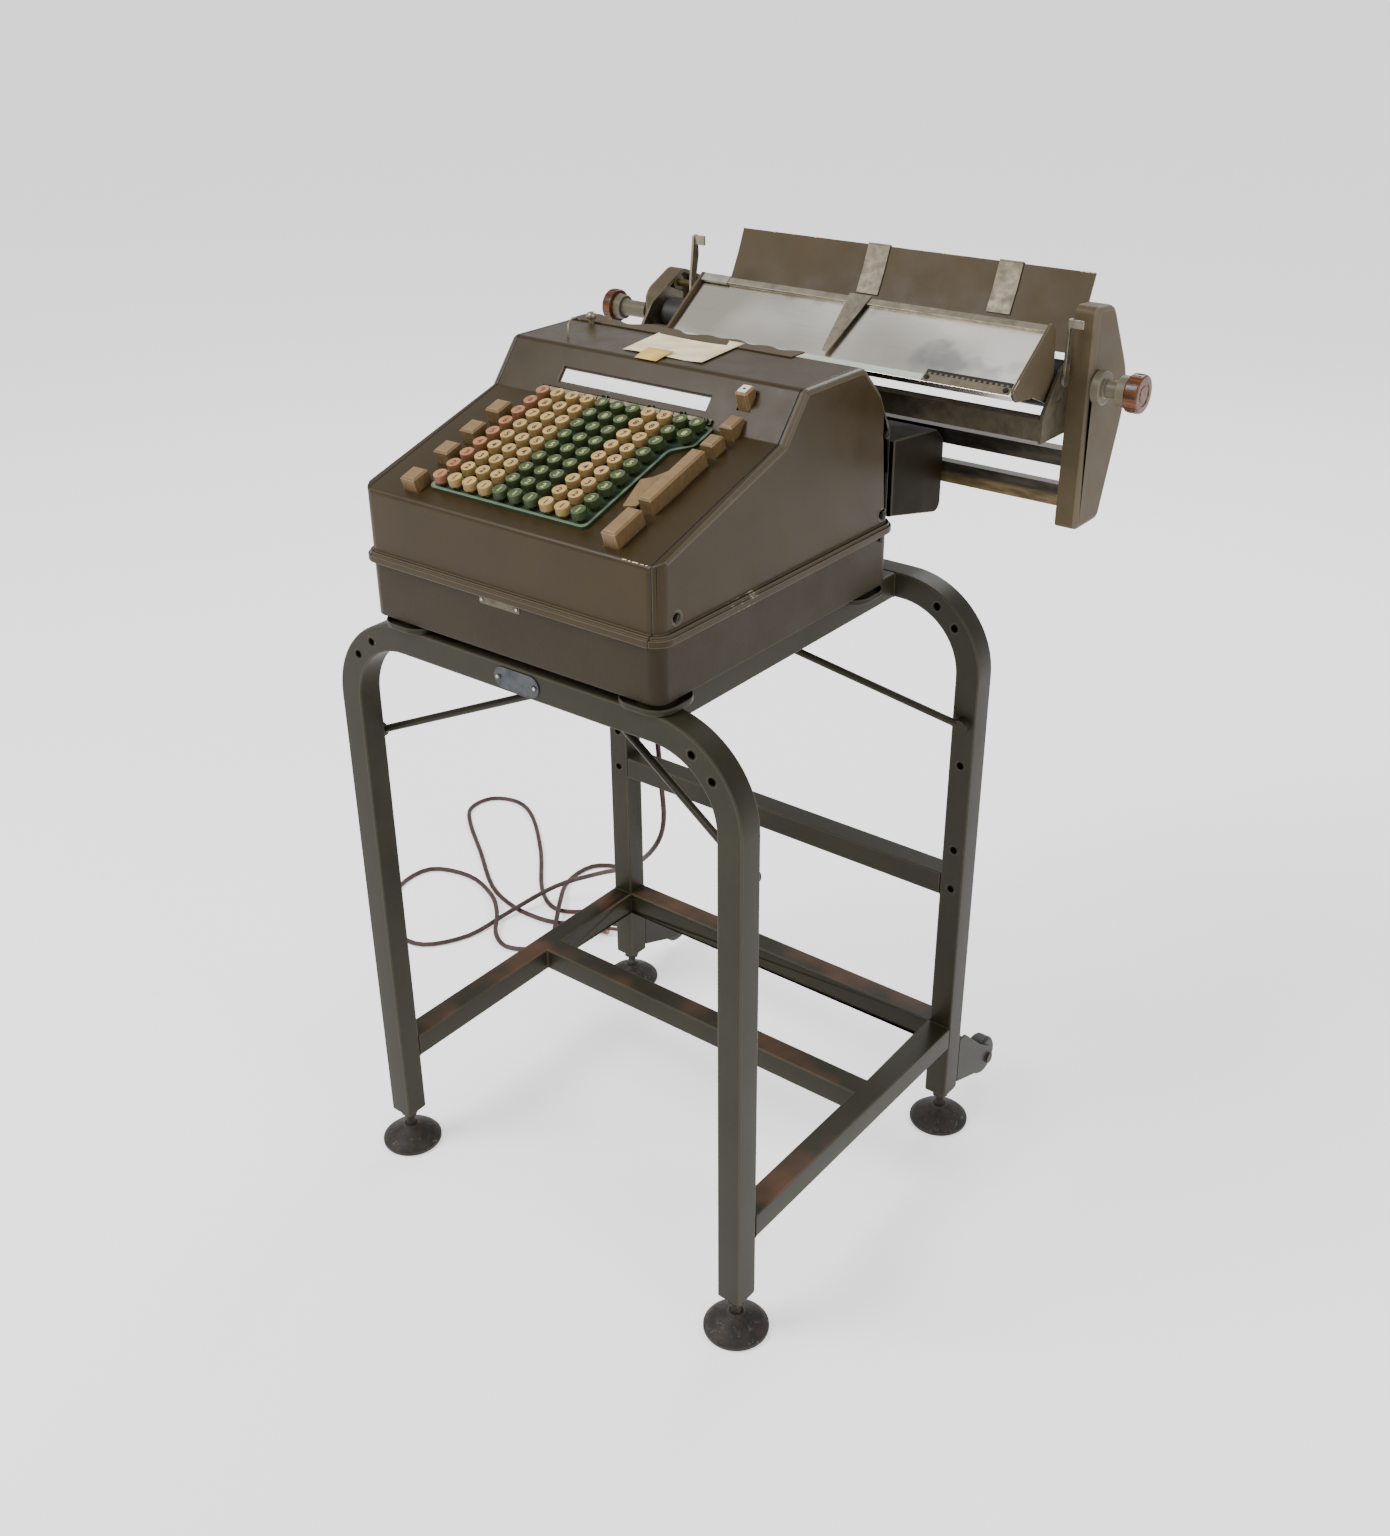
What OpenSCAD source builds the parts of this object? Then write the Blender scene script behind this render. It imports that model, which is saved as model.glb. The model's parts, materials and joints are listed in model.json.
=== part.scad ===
// Bookkeeping machine with a wide moving carriage, on a wheeled tube stand. Millimetres.
// X runs to the operator's right, Y to the back, Z up from the floor.

/* [Stand] */
// Width of the stand over its legs
stand_w = 520; // [490:1:560]
// Depth of the stand over its legs
stand_d = 448; // [420:1:480]
// Height of the top of the frames above the floor
stand_top = 703; // [660:1:750]
// Side of the square tube
tube = 28.5; // [25:0.5:32]
// Wall of the square tube
tube_wall = 2; // [1.5:0.1:3]
// Outer radius of the bends of the frames
bend_r = 100; // [80:1:105]
// Height of the leg ends above the floor
leg_z = 48; // [46:1:60]
// Underside of the lower rails above the floor
rail_z = 123.6; // [110:0.2:180]
// Underside of the rear mid rail above the floor
mid_rail_z = 330; // [280:1:380]
// Outer face of the top side rails, inwards from the side of the stand
top_rail_in = 108; // [106:1:125]
// Middle of the cross bar behind the middle of the stand
cross_y = 43; // [-60:1:90]
// Diameter of the holes in the legs and bends
hole_d = 8; // [5:0.5:10]
// Angle of the first hole of each bend from the upright
bend_hole_1 = 31; // [26:1:36]
// Angle of the second hole of each bend from the upright
bend_hole_2 = 51; // [44:1:60]
// Upper hole of the rear legs above the floor
leg_hole_top = 500; // [440:1:520]
// Middle hole of the rear legs above the floor
leg_hole_mid = 393; // [380:1:420]
// Lower hole of the rear legs above the floor
leg_hole_low = 342; // [300:1:360]

/* [Braces] */
// Radius of the brace rods
brace_r = 4; // [3:0.5:6]
// Rods at the legs below the top of the frames
brace_leg_drop = 152; // [123:1:220]
// Tie strip between the rods below the top of the frames
brace_tie_drop = 49; // [43:1:80]
// Front rods meet this far behind the front of the stand
brace_front = 92; // [60:1:120]
// Rear rods meet this far before the back of the stand
brace_rear = 140; // [100:1:180]
// Width of the tie strip
tie_w = 22; // [16:1:30]
// Thickness of the tie strip
tie_t = 10; // [9:0.5:12]
// Radius of the lugs that hold the rods to the legs
lug_r = 8; // [6:0.5:10]

/* [Feet and casters] */
// Radius of the cast foot discs
foot_r = 35; // [28:1:38]
// Height of the domed foot casting
foot_h = 22; // [18:1:28]
// Radius of the foot stems
stem_r = 5; // [4:0.5:7]
// Length of the foot stem inside the leg
stem_in = 26; // [18:1:36]
// Thickness of the threaded plug in each leg end
leg_plug = 12; // [8:1:16]
// Running clearance of pins and shafts in their bores, on the radius
run_gap = 0.05; // [0.02:0.01:0.1]
// Radius of the caster wheels
caster_r = 25; // [20:0.5:28]
// Width of the caster wheels
caster_w = 20; // [16:0.5:24]
// Height of the caster axles above the floor
caster_z = 43; // [38:0.5:48]
// Caster axles behind the back of the legs
caster_back = 79; // [60:1:90]
// Radius of the caster axle bolts
axle_r = 4; // [3:0.5:6]
// Thickness of the caster bracket plates
bracket_t = 3; // [2:0.5:5]
// Gap between a wheel and each cheek of its bracket
wheel_gap = 1.2; // [0.5:0.1:3]
// Top of the caster brackets above the floor
bracket_top = 118; // [112:1:130]
// Depth of the top of the caster brackets
bracket_deep = 42; // [34:1:44]
// Foot of the bracket plates above the caster axles
bracket_foot = 12; // [10:1:18]
// Bracket tip beyond the caster axles
bracket_tip = 11; // [10:0.5:14]
// Height of the caster bolt heads
bolt_h = 3; // [2:0.5:5]

/* [Cups and tag] */
// Side of the square machine cups
cup_w = 60; // [50:1:70]
// Height of the cup rims
cup_h = 6; // [4:0.5:8]
// Thickness of the cup sheet
cup_t = 2; // [1.5:0.5:3]
// Middle of the cups along X from the middle of the stand
cups_x = -4; // [-10:1:4]
// Cups left and right of that middle
cup_dx = 150; // [140:1:152]
// Front cups behind the front of the stand
cup_front = 24; // [20:1:30]
// Rear cups before the back of the case
cup_rear = 34; // [28:1:44]
// Radius of the rubber pads
pad_r = 20; // [14:1:24]
// Height of the rubber pads
pad_h = 6.5; // [6:0.5:12]
// Length of the tag plate
tag_w = 57; // [40:1:70]
// Height of the tag plate
tag_h = 22; // [16:1:26]
// Thickness of the tag plate
tag_t = 1.2; // [0.8:0.1:2]
// Middle of the tag plate left of the middle of the stand
tag_left = 2.5; // [0:0.5:12]
// Radius of the tag rivets
rivet_r = 2.2; // [1.5:0.1:3]
// Height of the tag rivets
rivet_h = 2.4; // [2.2:0.1:4]
// Rivets inwards from the ends of the tag plate
rivet_in = 7; // [5:0.5:9]

/* [Case] */
// Width of the case
case_w = 364; // [350:1:380]
// Middle of the case along X from the middle of the stand
case_x = -12; // [-16:1:-6]
// Depth of the case
case_d = 374; // [364:1:390]
// Height of the lower case
base_h = 56.5; // [50:0.5:66]
// Height of the front of the covers over the lower case
front_h = 72.5; // [66:0.5:84]
// Angle of the sloped keyboard face
slope_a = 18.2; // [16:0.1:20]
// Depth of the steep face behind it
steep_run = 35; // [32:1:40]
// Rise of the steep face
steep_rise = 43; // [40:1:50]
// Depth of the flat deck
deck_run = 91; // [84:1:98]
// Radius of the upright corners
case_r = 14; // [8:1:20]
// Wall of the covers
cover_wall = 2.5; // [2:0.1:3.5]
// Wall of the lower case
base_wall = 3; // [2.5:0.1:5]
// Width of each side cover
side_t = 8; // [6:0.5:14]
// Height of the bead along the foot of the covers
bead_h = 10; // [6:0.5:14]
// How far the bead stands proud
bead_out = 6; // [3:0.5:8]
// Height of the thick foot of the bead
bead_foot = 7; // [5:0.5:9]
// How far the bead's upper step stands proud
bead_step = 3.6; // [2:0.1:5]
// Radius of the cover screw heads
screw_r = 4; // [3:0.5:5]
// Height of the cover screw heads
screw_h = 1.5; // [1:0.1:2.5]
// Front cover screws behind the front of the case
screw_front = 26; // [20:1:34]
// Rear cover screws before the back of the case
screw_rear = 17; // [14:1:24]
// Lower cover screws above the seam
screw_low = 20; // [18:1:24]
// Upper cover screws above the seam
screw_high = 102; // [90:1:108]

/* [Keyboard] */
// Distance between keys, along and across
pitch = 19.05; // [18.8:0.05:19.3]
// Rows of keys
rows = 9; // [9:1:10]
// First row behind the front edge of the slope
row_front = 31.7; // [31.4:0.1:36]
// Middle of the first column from the middle of the case
col_1 = -98.7; // [-102:0.1:-94]
// Last row before the foot of the steep face
row_back = 9.6; // [9.4:0.1:10.5]
// Thickness of the keyboard plate
kb_t = 2; // [1.5:0.1:3]
// Width of the raised rim of the keyboard plate
kb_rim = 3; // [2:0.5:4]
// Height of the rim over the plate
kb_rim_h = 1.2; // [0.6:0.1:2]
// Plate edge beyond the key centres
kb_edge = 11.5; // [10.5:0.1:12]
// Plate over the opening below it, all round
kb_lap = 3.5; // [3:0.5:5]
// Radius of the key caps
cap_r = 7.5; // [6.5:0.1:8]
// Height of the key caps
cap_h = 7; // [6:0.5:9]
// Underside of the key caps over the slope
cap_z = 7; // [7:0.5:9]
// Side of the square key stems
key_stem = 4; // [3:0.5:5]
// Side of the square stem holes in the plate
stem_hole = 5.4; // [5.2:0.1:6.5]
// Length of all key stems below the slope
stem_down = 14; // [10:1:18]

/* [Function keys] */
// Left function keys from the middle of the case
left_key_x = -126; // [-130:0.5:-124]
// Width of a left function key
left_key_w = 18; // [15:0.5:18]
// Depth of a function key
fkey_d = 20; // [16:0.5:22]
// Right function keys and motor bar from the last column
right_key_gap = 31.7; // [30.2:0.1:34]
// Width of the right function keys and the motor bar
right_key_w = 14; // [12:0.5:16]
// Height of the function keys over the slope
fkey_h = 14; // [12:0.5:16]
// Height of the motor bar and the front key over the slope
bar_h = 16; // [14:0.5:20]
// Length of the motor bar
motor_bar_l = 82; // [76:1:84]
// Length of the front key
front_key_l = 39; // [34:1:42]
// Middle of the rear key behind the foot of the steep face
rear_key_s = 29; // [27:0.5:31]
// Top of the rear key over the slope
rear_key_top = 31.5; // [30:0.5:34]
// Height of the rear key
rear_key_h = 23; // [20:1:24]
// Depth of the rear key
rear_key_d = 16; // [13:0.5:18]
// Gap round each key in the cover
key_gap = 0.5; // [0.4:0.1:0.8]
// Travel of the slide lever each way, kept free in its slot
lever_run = 6; // [4:0.5:8]
// Thickness of the slide lever
lever_t = 2.5; // [2:0.5:4]
// Depth of the slide lever's stem
lever_stem = 20; // [14:1:24]
// Underside of the slide lever over the slope
lever_z = 3; // [1:0.5:5]

/* [Window and comma bar] */
// Width of the window
window_w = 184; // [170:1:190]
// Height of the window along the steep face
window_h = 17; // [14:0.5:19]
// Foot of the window above the foot of the steep face
window_up = 16; // [15:0.5:18]
// Middle of the window from the middle of the case
window_x = -8; // [-12:1:0]
// Thickness of the window glass
glass_t = 2; // [1.5:0.5:2.5]
// Middle of the comma bar from the middle of the case
comma_x = -10.5; // [-13:0.5:-8]
// Foot of the comma bar above the foot of the steep face
comma_up = 3.5; // [3.5:0.1:4.5]
// Length of the comma bar
comma_l = 215; // [200:1:225]
// Height of the comma bar along the steep face
comma_w = 6; // [4:0.5:7]
// Thickness of the comma bar
comma_t = 3; // [2:0.5:4]
// Width of a comma pointer
pointer_w = 5; // [4:0.5:7]
// Thickness of the pointer sheet
pointer_t = 1.2; // [1:0.1:2]
// Gap between the pointers and the bar
slide_gap = 0.3; // [0.3:0.05:0.5]

/* [Mechanism] */
// Thickness of the mechanism's side plates
plate_t = 4; // [3:0.5:6]
// Inner side of the mechanism plates from the right function keys
plate_gap = 22.5; // [18.5:0.5:26]
// Radius of the main drive shaft
drive_r = 7; // [5:0.5:9]
// Tip radius of the large drive gear
gear_r = 60; // [50:1:62]
// Number of teeth of the large drive gear
gear_teeth = 48; // [30:1:60]
// Radius of the motor pinion
pinion_r = 12; // [9:0.5:14]
// Radius of the motor
motor_r = 36; // [30:1:38]
// Length of the motor
motor_l = 120; // [90:1:130]
// Radius of the dial wheels
dial_r = 16; // [13:0.5:16]
// Width of a dial wheel
dial_w = 13; // [10:0.5:15]
// Radius of the dial shaft
dial_shaft = 3; // [2.5:0.5:5]

/* [Rear housing] */
// Depth of the rear housing behind the case
housing_d = 99; // [96:1:100]
// Height of its front edge over the seam of the case
housing_foot = 13; // [11:1:16]
// Height of its rear wall
housing_h = 78; // [70:1:82]
// Drop of its underside towards the back
housing_fall = 22; // [10:1:24]
// Wall of the rear housing
housing_wall = 3; // [2:0.5:4]
// Length of the block that guides the carriage rails
bed_l = 80; // [60:1:100]
// Depth of that block
bed_d = 34; // [30:1:38]

/* [Carriage] */
// Width between the end plates
carriage_w = 510; // [490:1:540]
// Middle of the carriage right of the middle of the case
carriage_x = 58; // [40:1:70]
// Platen axis behind the back of the case
platen_back = 112; // [110:1:116]
// Platen axis below the deck
platen_drop = 30; // [20:1:32]
// Radius of the platen
platen_r = 20; // [17:0.5:21]
// Radius of the platen shaft
shaft_r = 6; // [5:0.5:7]
// Thickness of the end plates
end_t = 24; // [18:1:30]
// Wall of the end plates
end_wall = 4; // [3:0.5:5]
// End plate in front of the platen axis
end_front = 10; // [9:0.5:10]
// End plate behind the platen axis
end_back = 74; // [70:1:80]
// End plate above the platen axis
end_up = 77; // [70:1:84]
// Top of the left end plate above the platen axis
end_left_up = 46; // [44:1:56]
// End plate below the platen axis
end_down = 145; // [138:1:152]
// Thickness of the beam cheeks
cheek_t = 4; // [3:0.5:5]
// Depth of the carriage beam
beam_d = 16; // [12:1:18]
// Height of the carriage beam
beam_h = 22; // [16:1:22]
// Carriage beam before the platen axis
beam_front = 58; // [52:1:60]
// Underside of the carriage beam below the platen axis
beam_drop = 46; // [44:1:48]
// Side of the upper carriage rail
rail_up = 16; // [12:0.5:18]
// Height of the lower carriage rail
rail_low_h = 22; // [18:0.5:24]
// Depth of the lower carriage rail
rail_low_d = 12; // [10:0.5:16]
// Upper rail below the platen axis
rail_up_drop = 74; // [72:1:78]
// Lower rail below the platen axis
rail_low_drop = 113; // [108:1:116]
// Radius of the feed roll
feed_r = 8; // [6:0.5:9]
// Radius of the feed roll's axle
feed_axle = 3; // [2.5:0.5:4]
// Radius of the platen knobs
knob_r = 18.5; // [17:0.5:24]
// Length of the left platen knob
knob_l_left = 12; // [10:1:24]
// Length of the right platen knob
knob_l_right = 14; // [10:1:24]
// Hub between the left end plate and its knob
hub_left = 45; // [38:1:52]
// Hub between the right end plate and its knob
hub_right = 36; // [34:1:42]
// Radius of the collars on the hubs
collar_r = 16.5; // [14:0.5:17]
// Thickness of those collars
collar_t = 10; // [6:1:12]
// Radius of the hubs
hub_r = 9; // [8:0.5:12]

/* [Chute and paper table] */
// Length of the chute sheet down its slope
chute_l = 78; // [70:1:82]
// Slope of the chute
chute_a = 36; // [32:0.5:40]
// Lower lip of the chute behind the back of the case
chute_back = 2; // [1:0.5:6]
// Lower lip of the chute below the deck
chute_drop = 22; // [20:1:26]
// Thickness of the chute sheet
chute_t = 1.5; // [1:0.1:2.5]
// Right side of the chute sheet from the right cheek
chute_right = 6; // [5:0.5:9]
// Left side of the chute sheet from the left cheek
chute_left = 86; // [70:1:100]
// Thickness of the chute arms
arm_t = 3; // [2:0.5:4]
// Side of the bar along the top of the chute
bar_w = 8; // [6:0.5:9]
// Radius of the rod that the chute swings on
chute_rod = 4; // [3:0.5:4.5]
// Wall of the bosses round that rod
boss_wall = 2.5; // [1.5:0.1:3]
// How far the bosses stand out of the arms
boss_out = 1; // [0.5:0.1:1.5]
// Middle of the form pointer from the right cheek
form_x = 217; // [180:1:240]
// Width of the form pointer's shoe
form_w = 26; // [20:1:32]
// Thickness of the form pointer's sheet
form_t = 1.5; // [1:0.1:2.5]
// Tip of the form pointer above the lower lip of the chute
form_tip = 11; // [8:1:20]
// Thickness of the finger levers
finger_t = 3; // [2:0.5:4]
// Length of the finger pads
finger_pad = 16; // [12:1:20]
// Radius of the right finger lever's pin
finger_pin = 3; // [2.5:0.1:3.5]
// Length of the right finger lever
finger_l = 58; // [50:1:64]
// Left finger lever from the left cheek
finger_x = 55; // [40:1:60]
// Length of the paper table
table_l = 427; // [400:1:440]
// Right end of the paper table from the right end plate
table_right = 11; // [8:1:20]
// Thickness of the paper table
table_t = 1.5; // [1:0.1:2.5]
// Width of the table guides
guide_w = 27; // [20:1:34]
// Thickness of the guide sheet
guide_t = 1.2; // [0.8:0.1:2]
// Left guide from the right end plate
guide_far = 259; // [200:1:280]
// Right guide from the right end plate
guide_near = 103; // [80:1:130]
// Radius of the rod behind the paper table
table_rod = 4; // [3:0.5:5]

/* [Cord] */
// Diameter of the cord
cord_d = 7; // [7:0.5:8]
// Gland along X from the middle of the case
gland_x = -138; // [-140:1:-100]
// Gland below the top of the lower case
gland_drop = 28; // [24:1:34]
// Length of the gland's taper
gland_l = 28; // [20:1:40]
// Rim of the gland round the cord
gland_rim = 7; // [5:0.5:9]
// Thickness of the gland's rim
gland_t = 3; // [2:0.5:4]
// Radius of the plug
plug_r = 13; // [11:0.5:16]
// Length of the plug
plug_l = 38; // [30:1:46]
// Length of the plug's blades
blade_l = 17; // [15:0.5:19]
// Width of the plug's blades
blade_w = 6; // [5:0.5:7]
// Thickness of the plug's blades
blade_t = 1.5; // [1.2:0.1:1.8]

/* [Hidden] */
$fn = 48;
arc_steps = 6;

// Colours as the photo shows them
enamel = "#5c5142";
stand_green = "#5a5848";
steel = "#8c8a84";
dark_steel = "#3c3a36";
cream = "#d9b98a";
green = "#4f6146";
orange = "#c4825f";
tan_key = "#b08a62";
bakelite = "#8a5230";
aluminium = "#b9bcc0";
rubber = "#2a2826";

// Places on the stand, from the middle of its footprint
leg_x = stand_w / 2 - tube / 2;
leg_y = stand_d / 2 - tube / 2;
stand_front = -stand_d / 2;
frame_back = stand_front + tube;
brace_leg_z = stand_top - brace_leg_drop;
brace_tie_z = stand_top - brace_tie_drop;
top_rail_x = stand_w / 2 - top_rail_in - tube / 2;

// Heights and depths of the case
case_z = stand_top + cup_t + pad_h;
seam_z = case_z + base_h;
edge_z = seam_z + front_h;
slope_l = row_front + (rows - 1) * pitch + row_back;
slope_run = slope_l * cos(slope_a);
slope_rise = slope_l * sin(slope_a);
slope_z = edge_z + slope_rise;
deck_z = slope_z + steep_rise;
case_front = stand_front;
slope_y = case_front + slope_run;
steep_y = slope_y + steep_run;
case_back = case_front + case_d;
case_left = case_x - case_w / 2;
case_right = case_x + case_w / 2;
steep_a = atan2(steep_rise, steep_run);

// Places on the carriage
platen_y = case_back + platen_back;
platen_z = deck_z - platen_drop;
inner_left = case_x + carriage_x - carriage_w / 2;
inner_right = inner_left + carriage_w;
knob_left_x = inner_left - end_t - hub_left - knob_l_left;
knob_right_x = inner_right + end_t + hub_right + knob_l_right;

// The origin is the middle of the object's box, on the floor
origin_x = (knob_left_x + knob_right_x) / 2;
origin_y = (-leg_y - foot_r + platen_y + end_back) / 2;

function unit(v) = v / norm(v);
function left_of(a, b) = unit([a[1] - b[1], b[0] - a[0]]);
// Points of the round corner at b, between a and c
function corner_arc(a, b, c, r) =
  let (
    u = unit(a - b),
    v = unit(c - b),
    half = acos(u * v) / 2,
    centre = b + unit(u + v) * r / sin(half),
    p = b + u * r / tan(half) - centre,
    q = b + v * r / tan(half) - centre,
    start = atan2(p[1], p[0]),
    sweep = atan2(q[1], q[0]) - start,
    turn = sweep > 180 ? sweep - 360 : sweep < -180 ? sweep + 360 : sweep
  )
  [for (i = [0:arc_steps]) centre + r * [cos(start + turn * i / arc_steps), sin(start + turn * i / arc_steps)]];
// Outline from corners [x, y, radius]
function rounded(pts) =
  let (n = len(pts))
  [for (i = [0:n - 1])
    let (a = pts[(i + n - 1) % n], b = pts[i], c = pts[(i + 1) % n])
    each (b[2] == 0 ? [[b[0], b[1]]] : corner_arc([a[0], a[1]], [b[0], b[1]], [c[0], c[1]], b[2]))];
// Counter-clockwise outline moved inwards by d
function inset(pts, d) =
  let (n = len(pts))
  [for (i = [0:n - 1])
    let (m = left_of(pts[(i + n - 1) % n], pts[i]), k = left_of(pts[i], pts[(i + 1) % n]))
    pts[i] + d * (m + k) / (1 + m * k)];
// Open line moved sideways by d
function beside(pts, d) =
  let (n = len(pts))
  [for (i = [0:n - 1])
    let (
      m = left_of(pts[max(i - 1, 0)], pts[max(i - 1, 0) + 1]),
      k = left_of(pts[min(i, n - 2)], pts[min(i, n - 2) + 1])
    )
    pts[i] + d * (m + k) / (1 + m * k)];
function reversed(pts) = [for (i = [len(pts) - 1:-1:0]) pts[i]];
// Strip between two lines beside the same open line
function strip(pts, d0, d1) = concat(beside(pts, d0), reversed(beside(pts, d1)));
function gear_outline(teeth, root, tip) =
  [for (i = [0:teeth - 1]) for (k = [0:3])
    let (a = 360 * (i + [0, 0.18, 0.5, 0.68][k]) / teeth, r = k % 3 == 0 ? root : tip)
    [r * cos(a), r * sin(a)]];

module placed() translate([-origin_x, -origin_y, 0]) children();
module along_x(x0, x1) translate([x0, 0, 0]) rotate([90, 0, 90]) linear_extrude(x1 - x0) children();
module along_y(y0, y1) translate([0, y1, 0]) rotate([90, 0, 0]) linear_extrude(y1 - y0) children();
module pin_x(x0, x1, y, z, r) translate([x0, y, z]) rotate([0, 90, 0]) cylinder(h = x1 - x0, r = r);
module pin_y(y0, y1, x, z, r) translate([x, y0, z]) rotate([-90, 0, 0]) cylinder(h = y1 - y0, r = r);
module block(x0, x1, y0, y1, z0, z1) translate([x0, y0, z0]) cube([x1 - x0, y1 - y0, z1 - z0]);
module rod(p, q, r) {
  d = q - p;
  translate(p) rotate([0, acos(d[2] / norm(d)), atan2(d[1], d[0])]) cylinder(h = norm(d), r = r);
}
// Frames of the three faces of the case: X along, Y up the face, Z out of it
module on_slope() translate([case_x, case_front, edge_z]) rotate([slope_a, 0, 0]) children();
module on_steep() translate([case_x, slope_y, slope_z]) rotate([steep_a, 0, 0]) children();
module on_chute() translate([0, case_back + chute_back, deck_z - chute_drop]) rotate([chute_a, 0, 0]) children();

// Keyboard places in the frame of the slope, and the rod of the chute
function col_x(i) = col_1 + i * pitch;
function row_s(j) = slope_l - row_back - (rows - 1 - j) * pitch;
right_key_x = col_x(10) + right_key_gap;
motor_bar_s = row_s(4) - 4;
front_key_s = row_s(0) - 1.2;
lever_x = right_key_x - 18;
lever_s = motor_bar_s - 5;
left_key_s = [row_s(0) - 8.7, row_s(2), row_s(4), row_s(6)];
right_key_s = [row_s(rows - 2) - 1, slope_l + 1.8];
kb_left = col_x(0) - kb_edge;
kb_right = col_x(9) + kb_edge;
kb_wide = col_x(10) + kb_edge;
kb_front = row_s(0) - kb_edge + 2;
kb_step = row_s(rows - 2) - 17;
kb_back = row_s(rows - 1) + cap_r + 0.9;
// Corners of the keyboard plate, with their radii
kb_corners = [
  [kb_left, kb_front, 6],
  [kb_right, kb_front, 6],
  [kb_right, kb_step, 8],
  [kb_wide, kb_step + 15, 6],
  [kb_wide, kb_back, 3],
  [kb_left, kb_back, 3]
];
// Outline of the keyboard plate moved inwards by d
function kb_shape(d) =
  let (p = inset([for (c = kb_corners) [c[0], c[1]]], d))
  rounded([for (i = [0:len(p) - 1]) [p[i][0], p[i][1], kb_corners[i][2]]]);
seat_gap = 0.02;
drive_y = slope_y + 20;
drive_z = seam_z + 32;
gear_x = 112;
gear_w = 8;
motor_a = 26;
motor_dist = gear_r + pinion_r + 0.5;
motor_y = drive_y + motor_dist * cos(motor_a);
motor_z = drive_z - motor_dist * sin(motor_a);
dial_up = window_up + window_h / 2;
dial_deep = cover_wall + glass_t + dial_r + 1.5;
dial_y = slope_y + dial_up * cos(steep_a) + dial_deep * sin(steep_a);
dial_z = slope_z + dial_up * sin(steep_a) - dial_deep * cos(steep_a);
rod_y = platen_y - 27;
rod_z = platen_z - 9;
finger_y = platen_y - 22;
finger_z = platen_z + 8;
feed_a = 60;
feed_dist = platen_r + feed_r + 0.4;
feed_y = platen_y + feed_dist * cos(feed_a);
feed_z = platen_z - feed_dist * sin(feed_a);
sheet_left = inner_left + cheek_t + chute_left;
sheet_right = inner_right - cheek_t - chute_right;
rod_dy = rod_y - case_back - chute_back;
rod_dz = rod_z - deck_z + chute_drop;
rod_l = rod_dy * cos(chute_a) + rod_dz * sin(chute_a);
rod_n = rod_dz * cos(chute_a) - rod_dy * sin(chute_a);
deck_back = steep_y + deck_run;
shoulder = [deck_back + 38, deck_z - 32];
// Outline of the case from the side, with the radius of each corner
case_corners = [
  [case_front, seam_z, 0],
  [case_back, seam_z, 0],
  [case_back, deck_z - 92, 24],
  [shoulder[0], shoulder[1], 40],
  [deck_back + 6, deck_z, 14],
  [steep_y, deck_z, 8],
  [slope_y, slope_z, 3],
  [case_front, edge_z, 6]
];
case_outline = rounded(case_corners);
case_sharp = [for (p = case_corners) [p[0], p[1]]];
// Lower outline of both end plates from the side
end_low = [
  [platen_y - end_front, platen_z - end_down, 6],
  [platen_y + 40, platen_z - end_down, 10],
  [platen_y + end_back, platen_z - 40, 80]
];
// The right end plate rises behind the finger lever, and the left one falls towards its knob
end_outline_right = rounded(concat(end_low, [
  [platen_y + end_back, platen_z, 60],
  [platen_y + 28, platen_z + end_up - 3, 20],
  [platen_y - end_front, platen_z + end_up, 8]
]));
end_outline_left = rounded(concat(end_low, [
  [platen_y + end_back, platen_z + end_left_up - 16, 16],
  [platen_y + 34, platen_z + end_left_up, 12],
  [platen_y - 4, platen_z + end_left_up - 18, 20],
  [platen_y - end_front, platen_z + end_left_up - 28, 14]
]));
// Front face of the paper table from the side
table_line = [
  [platen_y + 14, platen_z + 24],
  [platen_y + 21, platen_z + 34],
  [platen_y + 30, platen_z + 48],
  [platen_y + 42, platen_z + 71],
  [platen_y + 52, platen_z + 95]
];
table_x1 = inner_right - table_right;
table_x0 = table_x1 - table_l;
table_rod_at = beside(table_line, 0.3 - table_t - table_rod)[1];

// Stand
module arch(half, top, bottom, r) {
  translate([-half, bottom]) square([2 * half, top - r - bottom]);
  translate([r - half, bottom]) square([2 * (half - r), top - bottom]);
  for (s = [-1, 1]) translate([s * (half - r), top - r]) circle(r = r);
}
module arch_band(g, bottom) difference() {
  arch(stand_w / 2 - g, stand_top - g, bottom, bend_r - g);
  arch(stand_w / 2 - tube + g, stand_top - tube + g, bottom - 1, bend_r - tube + g);
}
module frame_tube(y0) difference() {
  along_y(y0, y0 + tube) arch_band(0, leg_z);
  along_y(y0 + tube_wall, y0 + tube - tube_wall) arch_band(tube_wall, leg_z + leg_plug);
  for (s = [-1, 1]) translate([s * leg_x, y0 + tube / 2, leg_z - 1])
    cylinder(h = leg_plug + 2, r = stem_r + run_gap);
  for (s = [-1, 1], a = [bend_hole_1, bend_hole_2])
    pin_y(y0 - 1, y0 + tube_wall + 1, s * (stand_w / 2 - bend_r + (bend_r - tube / 2) * sin(a)),
      stand_top - bend_r + (bend_r - tube / 2) * cos(a), hole_d / 2);
}
module tube_y(y0, y1, x, z) difference() {
  block(x - tube / 2, x + tube / 2, y0, y1, z, z + tube);
  block(x - tube / 2 + tube_wall, x + tube / 2 - tube_wall, y0 - 1, y1 + 1, z + tube_wall, z + tube - tube_wall);
}
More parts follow.
